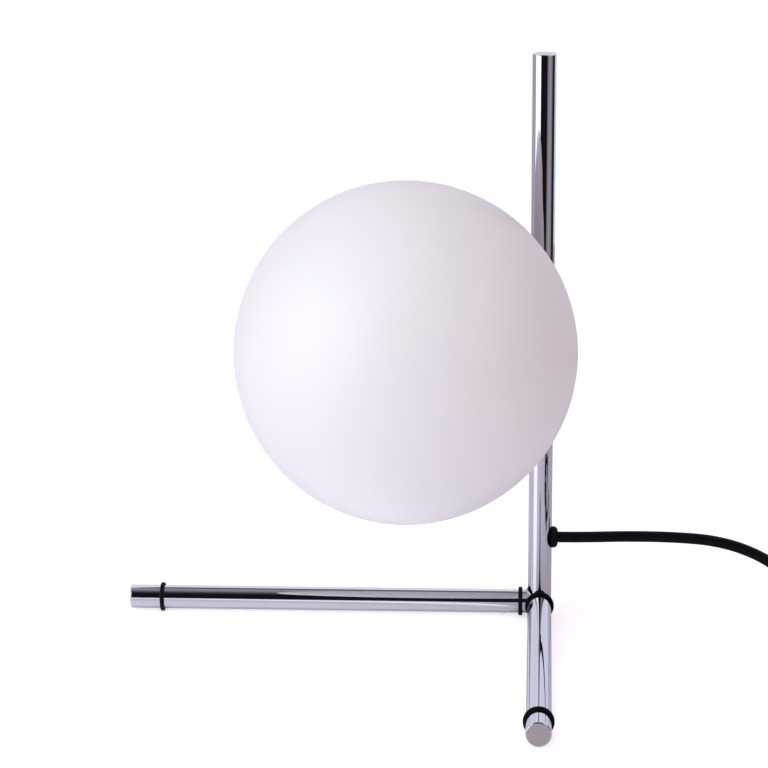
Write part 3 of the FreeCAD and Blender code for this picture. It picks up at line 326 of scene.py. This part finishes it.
# The strap round the coil, a rounded rectangle: its middle as seen from the coil's, and its half sizes.
TIE_REACH, TIE_HEIGHT = 39, 8.15
TIE_HALF_WIDTH, TIE_HALF_HEIGHT, TIE_CORNER = 11.9, 7.45, 3.6
TIE_THICKNESS = 0.7
TIE_HALF_BREADTH = 4
TIE_STEPS = 120

# Its end climbs over its start, both ends narrow in a few steps, and it stays just above the table.
TIE_LAP = 9
TIE_CLIMB = 4
TIE_LIFT = 0.75
TIE_END_SHARE = 0.6
TIE_END_STEPS = 3
TIE_BEVEL_SHARE = 0.94
TIE_CLEARANCE = 0.05


def coil_route():
    """Turns that spiral in on the table, climb one layer in a half turn and spiral out again."""
    half = COIL_TURNS / 2
    outside = 1 / math.cos(math.pi / COIL_STEPS)
    points = []
    for step in range(round(COIL_TURNS * COIL_STEPS) + 1):
        turned = step / COIL_STEPS
        climbed = min(max(2 * (turned - half) + 0.5, 0), 1)
        radius = (COIL_RADIUS - LAYER_RISE * (half - abs(turned - half))) * outside
        angle = math.pi + math.tau * turned
        height = LOW + LAYER_RISE * climbed**2 * (3 - 2 * climbed)
        points.append((COIL_X + radius * math.cos(angle), COIL_Y + radius * math.sin(angle), height))
    return points


def round_curve(name, spots, radius, body, slot, resolution, roundness, caps):
    """A round wire along a smooth curve by these spots."""
    data = bpy.data.curves.new(name, "CURVE")
    data.dimensions = "3D"
    data.resolution_u = resolution
    data.bevel_depth = radius * MM
    data.bevel_resolution = roundness
    data.use_fill_caps = caps
    spline = data.splines.new("NURBS")
    spline.points.add(len(spots) - 1)
    for point, spot in zip(spline.points, spots):
        point.co = (*spot, 1)
    spline.order_u = 3
    spline.use_endpoint_u = True
    data.materials.append(MATERIALS[slot])
    made = new_object(name, data)
    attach(made, body)
    return made


def cord_curve(name, route):
    return round_curve(
        name,
        [place(*spot) for spot in route],
        CORD_DIAMETER / 2,
        "frame",
        "cord_sheath",
        resolution=12,
        roundness=7,
        caps=True,
    )


def tie_spot(way, offset):
    """A point of the strap round the coil's section, as (distance from the coil's middle, height)."""
    straight = (2 * (TIE_HALF_HEIGHT - TIE_CORNER), 2 * (TIE_HALF_WIDTH - TIE_CORNER))
    arc = math.pi / 2 * TIE_CORNER
    side = 0
    while way > straight[side % 2] + arc:
        way -= straight[side % 2] + arc
        side += 1
    angle = math.pi / 2 * side
    along = min(way, straight[side % 2]) - straight[side % 2] / 2
    turned = angle + max(way - straight[side % 2], 0) / TIE_CORNER
    reach = (TIE_HALF_WIDTH, TIE_HALF_HEIGHT)[side % 2] - TIE_CORNER
    middle_x = reach * math.cos(angle) - along * math.sin(angle)
    middle_z = reach * math.sin(angle) + along * math.cos(angle)
    out = TIE_CORNER + offset
    return TIE_REACH + middle_x + out * math.cos(turned), TIE_HEIGHT + middle_z + out * math.sin(turned)


def tie_sections():
    """A flat strap round the coil on its back side, lapped over itself on the outside."""
    once = 4 * (TIE_HALF_WIDTH + TIE_HALF_HEIGHT - 2 * TIE_CORNER) + math.tau * TIE_CORNER
    sections = []
    for step in range(TIE_STEPS + 1):
        way = (once + TIE_LAP) * step / TIE_STEPS
        lift = TIE_LIFT * min(max((way - once + TIE_CLIMB) / TIE_CLIMB, 0), 1)
        from_end = min(step, TIE_STEPS - step, TIE_END_STEPS) / TIE_END_STEPS
        half_breadth = TIE_HALF_BREADTH * (TIE_END_SHARE + (1 - TIE_END_SHARE) * from_end)
        inner, outer = tie_spot(way, lift), tie_spot(way, lift + TIE_THICKNESS)
        bevel = TIE_BEVEL_SHARE
        section = []
        for side, (reach, height) in ((-1, inner), (-bevel, outer), (bevel, outer), (1, inner)):
            section.append(place(COIL_X + side * half_breadth, COIL_Y + reach, max(height, TIE_CLEARANCE)))
        sections.append(section)
    return sections


def make_cords():
    lead = cord_curve("cord_lead", LEAD_ROUTE)
    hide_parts("mains_cord_lead")
    rest = cord_curve("cord_rest", LINK_ROUTE + coil_route() + TAIL_ROUTE)
    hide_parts("mains_cord_link", "mains_cord_coil", "mains_cord_tail")
    tie = swept("cord_tie", tie_sections(), "frame", "black_rubber")


# Studio: a pale floor, soft light that comes mostly from the left, and cards that only the chrome shows.
# Angles round the stem are in degrees from the camera's side, positive to its right.
FAR_LEFT, LEFT_CARD, FRONT_LEFT, FRONT_RIGHT, RIGHT_CARD, FAR_RIGHT = -134, -84, -31, 31, 84, 118
CARD_RADIUS = 1500
CARD_STEPS = 24
CARD_TOP = 1500
LEFT_FOOT, EDGE_FOOT, UNDER_FOOT = 24, -14, -110
FAR_LEFT_FOOT = -60
RIGHT_TOP = 900
FLAG_FOOT = -260
FLAG_TOP = 1350
OVERHEAD = 2300
OVERHEAD_EDGE, OVERHEAD_BACK = 575, 1523
OVERHEAD_FLAG_SIDES = (-600, 450)
LONG_FLOOR, SHORT_FLOOR = 1228, 820
LIGHT_DISTANCE = 1.5

# Strengths of the floor's own light.
LEFT_FRONT_GLOW = 0.75
BAR_GLOW = 0.29
CHROME_GLOW = 0.06
CAMERA_GLOW = 0.62
BOUNCE_GLOW = 0.27

# What the world is to matt surfaces and in the chrome, and between which rises its sky turns to the zenith.
FILL_LIGHT = (0.425, 0.33, 0.365)
CHROME_SKY = (0.84, 0.86, 1.02)
CHROME_ZENITH = (1.12, 1.08, 1.1)
ZENITH_START, ZENITH_END = 0.3, 0.42
WHITE = (1.0, 1.0, 1.0)

# Tones of cards, in the order of their angles.
# UNDER_TONES run from the top down, and OVERHEAD_TONES from front to back.
BLACK = (0.012, 0.009, 0.016)
FAR_LEFT_TONES = ((0.26, 0.25, 0.29), (0.66, 0.63, 0.72), (0.46, 0.44, 0.51))
RIGHT_TONES = ((0.26, 0.21, 0.24), (0.51, 0.46, 0.45), (0.26, 0.21, 0.24))
UNDER_TONES = ((1.2, 1.14, 1.22), (0.83, 0.78, 0.89), (0.47, 0.44, 0.51))
OVERHEAD_TONES = [(share, 0.93 * share, 1.02 * share) for share in (0.065, 0.115, 0.245, 0.37, 0.435, 0.45)]
OVERHEAD_DARK = (0.17, 0.16, 0.185)


def stage_mesh(name, corners, faces, material):
    data = bpy.data.meshes.new(name)
    data.from_pydata([place(*corner) for corner in corners], [], faces)
    data.materials.append(material)
    made = new_object(name, data)
    return made


def ring_point(angle, radius, height):
    """A point round the stem."""
    return radius * math.sin(math.radians(angle)), -radius * math.cos(math.radians(angle)), height


def floor_material():
    """A pale floor that takes the lamp's soft shadow, with its own light for the camera and the chrome."""
    shader = Shader("floor", (0.8, 0.8, 0.81), 0.9, Specular_IOR_Level=0.0)
    cloud = shader.noise(3, 2)
    shader.set(shader.surface, "Base Color", shader.mixed(cloud, (0.78, 0.77, 0.85), (0.81, 0.8, 0.88)))
    path = shader.nodes.new("ShaderNodeLightPath").outputs
    offset = shader.from_point(STEM)
    right = shader.node("SeparateXYZ", 0, Vector=offset)
    back = shader.node("SeparateXYZ", 1, Vector=offset)

    # Painted light on the floor at the left front of the stem, between 30 and 70 degrees from the camera's
    # side, which only the chrome shows.
    far_edge = shader.math("SUBTRACT", shader.product(right, 0.32), back)
    near_edge = shader.math("SUBTRACT", shader.product(back, 0.6), right)
    painted_light = shader.product(
        shader.ramp(far_edge, 0, LEFT_FRONT_GLOW, 0.002, 0.016),
        shader.ramp(near_edge, 0, 1, 0, 0.012),
    )
    # Painted light close before the left bar, and painted shade from under the bar to the back, which only
    # the chrome shows.
    strip = shader.product(
        shader.ramp(back, 0, BAR_GLOW, -0.04, -0.01),
        shader.ramp(back, 1, 0.4, -0.0065, -0.0045),
        shader.ramp(right, 1, 0, -0.02, -0.012),
    )
    glow_in_chrome = shader.math("ADD", shader.math("MAXIMUM", painted_light, strip), CHROME_GLOW)
    in_chrome = shader.product(glow_in_chrome, path["Is Glossy Ray"])
    to_camera = shader.math("MAXIMUM", path["Is Camera Ray"], path["Is Transmission Ray"])
    seen = shader.product(to_camera, CAMERA_GLOW)
    bounced = shader.product(path["Is Diffuse Ray"], BOUNCE_GLOW)
    shader.set(shader.surface, "Emission Color", (*WHITE, 1))
    strength = shader.math("MAXIMUM", seen, shader.math("MAXIMUM", in_chrome, bounced))
    shader.set(shader.surface, "Emission Strength", strength)
    return shader.material


def glow(name):
    """A card that shines in the tones of its mesh, with slight clouds."""
    shader = Shader(name, (0, 0, 0), 1, Specular_IOR_Level=0.0)
    tone = shader.node("VertexColor", 0, {"layer_name": "tone"})
    shader.set(shader.surface, "Emission Color", tone)
    shader.set(shader.surface, "Emission Strength", shader.ramp(shader.noise(4, 2), 0.9, 1.0))
    return shader.material


def toned_card(name, corners, faces, colours):
    """A card with a tone at each corner, which only the chrome shows."""
    card = stage_mesh(name, corners, faces, glow(name))
    tone = card.data.color_attributes.new("tone", "FLOAT_COLOR", "POINT")
    for point, colour in zip(tone.data, colours):
        point.color = (*colour, 1)
    card.visible_camera = False
    card.visible_diffuse = False
    card.visible_transmission = False
    card.visible_shadow = False


def between(tones, share):
    """The tone at this share of the way through a row of evenly spaced tones."""
    spot = share * (len(tones) - 1)
    first = min(int(spot), len(tones) - 2)
    return [a + (b - a) * (spot - first) for a, b in zip(tones[first], tones[first + 1])]


def curved_card(name, start, end, low, high, *tones, low_tone=None):
    """A card round the stem between two angles and two heights, with tones that run from start to end."""
    corners, colours = [], []
    for step in range(CARD_STEPS + 1):
        angle = start + (end - start) * step / CARD_STEPS
        corners += [ring_point(angle, CARD_RADIUS, low), ring_point(angle, CARD_RADIUS, high)]
        tone = between(tones * 2 if len(tones) == 1 else tones, step / CARD_STEPS)
        colours += [low_tone or tone, tone]
    faces = [(2 * step, 2 * step + 2, 2 * step + 3, 2 * step + 1) for step in range(CARD_STEPS)]
    toned_card(name, corners, faces, colours)


def flat_card(name, left, right, front, back, height, *tones):
    """A level card overhead, with tones that run from its front to its back."""
    corners, colours = [], []
    for row, tone in enumerate(tones):
        y = front + (back - front) * row / (len(tones) - 1)
        corners += [(left, y, height), (right, y, height)]
        colours += [tone, tone]
    faces = [(2 * row, 2 * row + 1, 2 * row + 3, 2 * row + 2) for row in range(len(tones) - 1)]
    toned_card(name, corners, faces, colours)


def upright_card(name, left, right, front, low, high, tone):
    """A straight card across the front, near the lamp."""
    corners = [(left, front, low), (right, front, low), (right, front, high), (left, front, high)]
    toned_card(name, corners, [(0, 1, 2, 3)], 4 * [tone])


def make_floor():
    """Wide at the back and the left, and short at the front and the right, where the flags are dark."""
    corners = []
    for angle in range(-180, 180, 4):
        short = FRONT_LEFT <= angle <= FAR_RIGHT
        corners.append(ring_point(angle, SHORT_FLOOR if short else LONG_FLOOR, 0))
    stage_mesh("floor", corners, [tuple(range(len(corners)))], floor_material())


def area_light(name, angle, rise, size, power, colour):
    """A soft light round the globe, at an angle like those round the stem and a rise above the level."""
    data = bpy.data.lights.new(name, "AREA")
    data.shape = "RECTANGLE"
    data.size, data.size_y = size
    data.energy = power
    data.color = colour
    light = new_object(name, data)
    x, y, _ = ring_point(angle, math.cos(math.radians(rise)), 0)
    away = Vector((x, y, math.sin(math.radians(rise))))
    light.location = GLOBE_CENTRE + LIGHT_DISTANCE * away
    light.rotation_euler = away.to_track_quat("Z", "Y").to_euler()
    light.visible_glossy = False


def make_world():
    """White to the camera, lilac in the chrome and a soft even light for matt surfaces."""
    world = bpy.data.worlds.new("studio")
    bpy.context.scene.world = world
    tree = NodeTree(world)
    rise = tree.node("SeparateXYZ", "Z", Vector=tree.node("TexCoord", "Generated"))
    sky = tree.mixed(tree.ramp(rise, 0, 1, ZENITH_START, ZENITH_END), CHROME_SKY, CHROME_ZENITH)
    path = tree.nodes.new("ShaderNodeLightPath").outputs
    in_chrome = tree.mixed(path["Is Glossy Ray"], FILL_LIGHT, sky)
    through_glass = tree.mixed(path["Is Transmission Ray"], in_chrome, WHITE)
    background = tree.nodes["Background"]
    tree.set(background, "Color", tree.mixed(path["Is Camera Ray"], through_glass, WHITE))
    tree.set(background, "Strength", 1.0)


def make_cards():
    curved_card("card_far_left", FAR_LEFT, LEFT_CARD, FAR_LEFT_FOOT, CARD_TOP, *FAR_LEFT_TONES)
    upper, edge, under = UNDER_TONES
    curved_card("card_left", LEFT_CARD, FRONT_LEFT, LEFT_FOOT, CARD_TOP, (2.0, 2.0, 2.0))
    curved_card("card_left_edge", LEFT_CARD, FRONT_LEFT, EDGE_FOOT, LEFT_FOOT, upper, low_tone=edge)
    curved_card("card_left_low", LEFT_CARD, FRONT_LEFT, UNDER_FOOT, EDGE_FOOT, edge, low_tone=under)
    curved_card("flag_front", FRONT_LEFT, FRONT_RIGHT, FLAG_FOOT, FLAG_TOP, BLACK)
    over_flag = OVERHEAD_TONES[0]
    curved_card("flag_front_high", FRONT_LEFT, FRONT_RIGHT, FLAG_TOP, OVERHEAD, over_flag, low_tone=BLACK)
    upright_card("card_front", left=-650, right=150, front=-480, low=0, high=36, tone=(0.78, 0.8, 0.94))
    curved_card("card_right", FRONT_RIGHT, RIGHT_CARD, FLAG_FOOT, RIGHT_TOP, *RIGHT_TONES)
    curved_card("flag_far_right", RIGHT_CARD, FAR_RIGHT, FLAG_FOOT, RIGHT_TOP, (0.03, 0.022, 0.04))
    sides = (-CARD_RADIUS, CARD_RADIUS)
    flat_card("card_overhead", *sides, -CARD_RADIUS, OVERHEAD_EDGE, OVERHEAD, *OVERHEAD_TONES)
    dark = (OVERHEAD_DARK, OVERHEAD_DARK)
    flat_card("flag_overhead", *OVERHEAD_FLAG_SIDES, OVERHEAD_EDGE, OVERHEAD_BACK, OVERHEAD, *dark)


def make_studio():
    make_floor()
    make_cards()
    area_light("key_high", angle=-42, rise=55, size=(1.5, 1.5), power=8.8, colour=(0.86, 0.98, 1.12))
    area_light("key_low", angle=-45, rise=12, size=(1.5, 0.8), power=7.4, colour=(0.93, 1.0, 0.98))
    area_light("fill_left", angle=-90, rise=40, size=(1.5, 1.5), power=2.1, colour=(1.0, 0.87, 0.74))
    area_light("fill_right", angle=50, rise=20, size=(1.5, 0.9), power=3.3, colour=(1.0, 0.92, 0.93))
    area_light("fill_top", angle=0, rise=88, size=(1.5, 1.5), power=1.3, colour=(0.85, 1.1, 1.0))
    make_world()


# Helpers for pieces made of meshes.
CREASE_ANGLE = math.radians(40)


def riding_mesh(name, mesh, body, slot):
    """The finished mesh as a smooth piece of a body."""
    bmesh.ops.recalc_face_normals(mesh, faces=mesh.faces)
    data = bpy.data.meshes.new(name)
    mesh.to_mesh(data)
    mesh.free()
    data.materials.append(MATERIALS[slot])
    data.shade_smooth()
    made = new_object(name, data)
    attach(made, body)
    return made


def join_rings(mesh, rings):
    """Faces from each closed ring of vertices to the next."""
    for ring, following in zip(rings, rings[1:]):
        for index in range(len(ring)):
            after = (index + 1) % len(ring)
            mesh.faces.new((ring[index], ring[after], following[after], following[index]))


def lathe(name, profile, centre, axis, segments, body, slot):
    """A closed profile of (distance along the axis, radius) turned round the axis. Radius 0 closes a pole."""
    mesh = bmesh.new()
    turn = axis.to_track_quat("Z", "Y").to_matrix()
    rings = []
    for along, radius in profile:
        steps = segments if radius > 0 else 1
        ring = []
        for step in range(steps):
            angle = math.tau * step / segments
            spot = Vector((radius * math.cos(angle), radius * math.sin(angle), along))
            ring.append(mesh.verts.new(centre + turn @ spot))
        rings.append(ring)
    for number, ring in enumerate(rings):
        following = rings[(number + 1) % len(rings)]
        if len(ring) == len(following) == 1:
            continue
        for step in range(segments):
            after = (step + 1) % segments
            corners = [ring[step % len(ring)], following[step % len(following)]]
            corners += [following[after % len(following)], ring[after % len(ring)]]
            mesh.faces.new(list(dict.fromkeys(corners)))
    return riding_mesh(name, mesh, body, slot)


def swept(name, sections, body, slot):
    """Sections of equally many points joined one to the next, closed at both ends."""
    mesh = bmesh.new()
    rings = [[mesh.verts.new(spot) for spot in section] for section in sections]
    join_rings(mesh, rings)
    mesh.faces.new(rings[0])
    mesh.faces.new(rings[-1])
    made = riding_mesh(name, mesh, body, slot)
    made.data.set_sharp_from_angle(angle=CREASE_ANGLE)
    return made


# Globe: the blown ball in fine facets, with its mouth towards the stem.
GLOBE_ROWS = 140
GLOBE_SEGMENTS = 256


def make_globe():
    inner = GLOBE_RADIUS - GLASS_WALL
    outer_start = math.asin(MOUTH_RADIUS / GLOBE_RADIUS)
    inner_start = math.asin(MOUTH_RADIUS / inner)
    profile = []
    for step in range(GLOBE_ROWS):
        angle = outer_start + (math.pi - outer_start) * step / GLOBE_ROWS
        profile.append((-GLOBE_RADIUS * math.cos(angle), GLOBE_RADIUS * math.sin(angle)))
    profile += [(GLOBE_RADIUS, 0), (inner, 0)]
    for step in range(GLOBE_ROWS - 1, -1, -1):
        angle = inner_start + (math.pi - inner_start) * step / GLOBE_ROWS
        profile.append((-inner * math.cos(angle), inner * math.sin(angle)))
    globe = lathe("globe_glass", profile, GLOBE_CENTRE, GLOBE_AXIS, GLOBE_SEGMENTS, "globe", "opal_glass")
    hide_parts("glass_globe")


# Thread of the fitter's sleeve, which shows when the globe is unscrewed.
SLEEVE_RADIUS = 18.2
THREAD_HEIGHT = 0.22
THREAD_ROOT = -0.05
THREAD_HALF_FOOT, THREAD_HALF_CREST = 0.75, 0.3
THREAD_LEAD = 4
THREAD_START = 15.2
THREAD_TURNS = 1.5
THREAD_STEPS = 96
RUN_OUT_STEPS = 12


def make_thread():
    """A low ridge that winds round the sleeve and runs out at both ends."""
    centre = STEM + UP * GLOBE_HEIGHT
    foot, crest = THREAD_HALF_FOOT, THREAD_HALF_CREST
    sections = []
    last = THREAD_TURNS * THREAD_STEPS
    for step in range(int(last) + 1):
        angle = math.tau * step / THREAD_STEPS
        rise = THREAD_HEIGHT * min(1, step / RUN_OUT_STEPS, (last - step) / RUN_OUT_STEPS)
        start = THREAD_START + THREAD_LEAD * step / THREAD_STEPS
        section = []
        for along, out in ((-foot, THREAD_ROOT), (-crest, rise), (crest, rise), (foot, THREAD_ROOT)):
            radius = SLEEVE_RADIUS + out
            spot = Vector((radius * math.cos(angle), radius * math.sin(angle), start + along))
            section.append(centre + GLOBE_TURN @ spot * MM)
        sections.append(section)
    swept("sleeve_thread", sections, "frame", "chrome")


# Bulb: a fine coil on two wires inside the capsule, placed from the capsule's middle along the globe's axis.
FILAMENT_RADIUS = 1.2
FILAMENT_HALF = 7
FILAMENT_TURNS = 22
FILAMENT_STEPS = 12
WIRE_RADIUS = 0.12
WIRE_REACH = 3
WIRE_FOOT, WIRE_BEND = -20, -9


def make_filament():
    centre = middle("bulb_capsule")
    route = [(-WIRE_REACH, 0, WIRE_FOOT), (-WIRE_REACH, 0, WIRE_BEND), (-FILAMENT_RADIUS, 0, -FILAMENT_HALF)]
    last = FILAMENT_TURNS * FILAMENT_STEPS
    for step in range(last + 1):
        angle = math.tau * step / FILAMENT_STEPS
        along = -FILAMENT_HALF + 2 * FILAMENT_HALF * step / last
        route.append((-FILAMENT_RADIUS * math.cos(angle), FILAMENT_RADIUS * math.sin(angle), along))
    route += [(-FILAMENT_RADIUS, 0, FILAMENT_HALF + 0.6), (0.5, 0, FILAMENT_HALF + 2)]
    route += [(WIRE_REACH, 0, FILAMENT_HALF), (WIRE_REACH, 0, WIRE_BEND), (WIRE_REACH, 0, WIRE_FOOT)]
    spots = [centre + GLOBE_TURN @ Vector(spot) * MM for spot in route]
    round_curve("bulb_filament", spots, WIRE_RADIUS, "bulb", "nickel", resolution=2, roundness=2, caps=False)


# Switch: the two plain marks on the rocker, as it lies at rest with its back half level.
ROCKER_TILT = math.radians(8)
ROCKER_PIVOT_HEIGHT = 14.5
ROCKER_RISE = 5
ROCKER_MIDDLE = (
    SWITCH_X,
    SWITCH_Y + ROCKER_RISE * math.sin(ROCKER_TILT),
    ROCKER_PIVOT_HEIGHT + ROCKER_RISE * math.cos(ROCKER_TILT),
)
MARK_FOOT, MARK_TOP, MARK_BEVEL = -0.05, 0.06, 0.05
MARK_STEPS = 24
RING_INNER, RING_OUTER = 1.2, 1.75
RING_PROFILE = (
    (MARK_FOOT, RING_INNER),
    (MARK_FOOT, RING_OUTER),
    (MARK_TOP, RING_OUTER - MARK_BEVEL),
    (MARK_TOP, RING_INNER + MARK_BEVEL),
)
RING_REACH = 4.3
BAR_REACH = 4.6
BAR_HALF_LENGTH = 1.4
BAR_HALF_WIDTH = 0.28


def make_marks():
    """A ring on the level half of the rocker and a bar with round ends on its sloping half."""
    back = place(*ROCKER_MIDDLE) - RING_REACH * MM * FRONT
    ring = [(distance * MM, radius * MM) for distance, radius in RING_PROFILE]
    lathe("mark_off", ring, back, UP, 2 * MARK_STEPS, "rocker", "white_plastic")
    slope = Vector((0, -math.cos(2 * ROCKER_TILT), math.sin(2 * ROCKER_TILT)))
    normal = Vector((0, math.sin(2 * ROCKER_TILT), math.cos(2 * ROCKER_TILT)))
    front = place(*ROCKER_MIDDLE) + BAR_REACH * MM * slope
    sections = []
    for height, radius in ((MARK_FOOT, BAR_HALF_WIDTH), (MARK_TOP, BAR_HALF_WIDTH - MARK_BEVEL)):
        section = []
        for step in range(MARK_STEPS):
            angle = math.tau * (step + 0.5) / MARK_STEPS
            along = radius * math.cos(angle) + math.copysign(BAR_HALF_LENGTH, math.cos(angle))
            across = radius * math.sin(angle)
            section.append(front + MM * (along * slope - across * LEFT + height * normal))
        sections.append(section)
    swept("mark_on", sections, "rocker", "white_plastic")


# Corner: the polished hollow blend of the mitred tubes, where a small ball would roll between two of them.
TUBE_RADIUS = 8
CORNER = Vector((0, 0, middle("left_bar_tube").z / MM))
BLEND_RADIUS = 1.2
WIDE_BLEND_RADIUS = 3
BLEND_STEPS = 8
BLEND_DEGREES = 3
CREASE_DEPTH = 0.97


def blend_section(first, second, angle, radius):
    """A hollow arc between two tubes and the point below it. angle runs from the third tube to the back."""
    across = first.cross(second)
    if across.dot(UP + LEFT + FRONT) > 0:
        across = -across
    along, off, reach = math.cos(angle), math.sin(angle), TUBE_RADIUS + radius
    ball = reach * (along * (first + second) + off * across)
    touch_first = TUBE_RADIUS * (along * second + off * across) + reach * along * first
    touch_second = TUBE_RADIUS * (along * first + off * across) + reach * along * second
    arc = blend_arc(ball, touch_first, touch_second, radius)
    return arc + [CREASE_DEPTH * TUBE_RADIUS * (along * (first + second) + off * across)]


def blend_arc(ball, start, end, radius):
    shares = (step / BLEND_STEPS for step in range(BLEND_STEPS + 1))
    return [ball + radius * (start - ball).lerp(end - ball, share).normalized() for share in shares]


def make_corner_blend():
    mesh = bmesh.new()

    def vertex(spot):
        return mesh.verts.new(place(*(CORNER + spot)))

    seams = ((UP, LEFT, WIDE_BLEND_RADIUS), (UP, FRONT, BLEND_RADIUS), (LEFT, FRONT, BLEND_RADIUS))
    for first, second, widest in seams:
        sections = []
        for angle in range(-45, 90, BLEND_DEGREES):
            share = min(max((angle + 45) / 45, 0), 1)
            radius = BLEND_RADIUS + (widest - BLEND_RADIUS) * share**2 * (3 - 2 * share)
            spots = blend_section(first, second, math.radians(angle), radius)
            sections.append([vertex(spot) for spot in spots])
        join_rings(mesh, sections)
        mesh.faces.new(sections[-1])

    # Where all three tubes meet, the ball touches each of them and leaves a hollow triangle.
    half = math.sqrt(0.5)
    ball = (TUBE_RADIUS + BLEND_RADIUS) * half * (UP + LEFT + FRONT)
    touches = [ball - BLEND_RADIUS * half * (UP + LEFT + FRONT - axis) for axis in (UP, LEFT, FRONT)]
    rows = []
    for down in range(BLEND_STEPS + 1):
        row = []
        for along in range(down + 1):
            weights = (BLEND_STEPS - down, down - along, along)
            away = sum((w * (touch - ball) for w, touch in zip(weights, touches)), Vector())
            row.append(vertex(ball + BLEND_RADIUS * away.normalized()))
        rows.append(row)
    for row, following in zip(rows, rows[1:]):
        for index in range(len(row)):
            mesh.faces.new((row[index], following[index], following[index + 1]))
            if index:
                mesh.faces.new((row[index - 1], following[index], row[index]))
    bmesh.ops.remove_doubles(mesh, verts=mesh.verts, dist=1e-6)
    made = riding_mesh("corner_blend", mesh, "frame", "chrome")
    made.data.set_sharp_from_angle(angle=CREASE_ANGLE)


# End faces of the caps get the lathe's satin finish, with painted light: the stem's upward top face is
# lighter, and the two sideways end faces are darker as painted shade.


def finish_end_faces():
    # Painted light and shade: one satin chrome, lighter on the top face that looks up and darker on the side
    # end faces.
    shaded_end_tone, painted_light = (0.48, 0.45, 0.445), (0.66, 0.64, 0.7)
    ends = (("stem_top_cap", UP, painted_light), ("left_end_cap", LEFT, shaded_end_tone), ("front_end_cap", FRONT, shaded_end_tone))
    for node, axis, colour in ends:
        low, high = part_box(node)
        centre = middle(node) + axis * (high - low) / 2
        data = NODES[node].data
        data.materials.append(turned_face(centre, f"turned_{node}", colour))
        # Only the faces in the outermost plane.
        for face in data.polygons:
            if face.normal.dot(axis) > 0.99 and (face.center - centre).dot(axis) > -0.0001:
                face.material_index = 1


dress_nodes()
make_camera()
make_cords()
make_globe()
make_thread()
make_filament()
make_marks()
make_corner_blend()
finish_end_faces()
make_studio()
bpy.context.scene.view_settings.view_transform = "Standard"

bpy.context.view_layer.update()
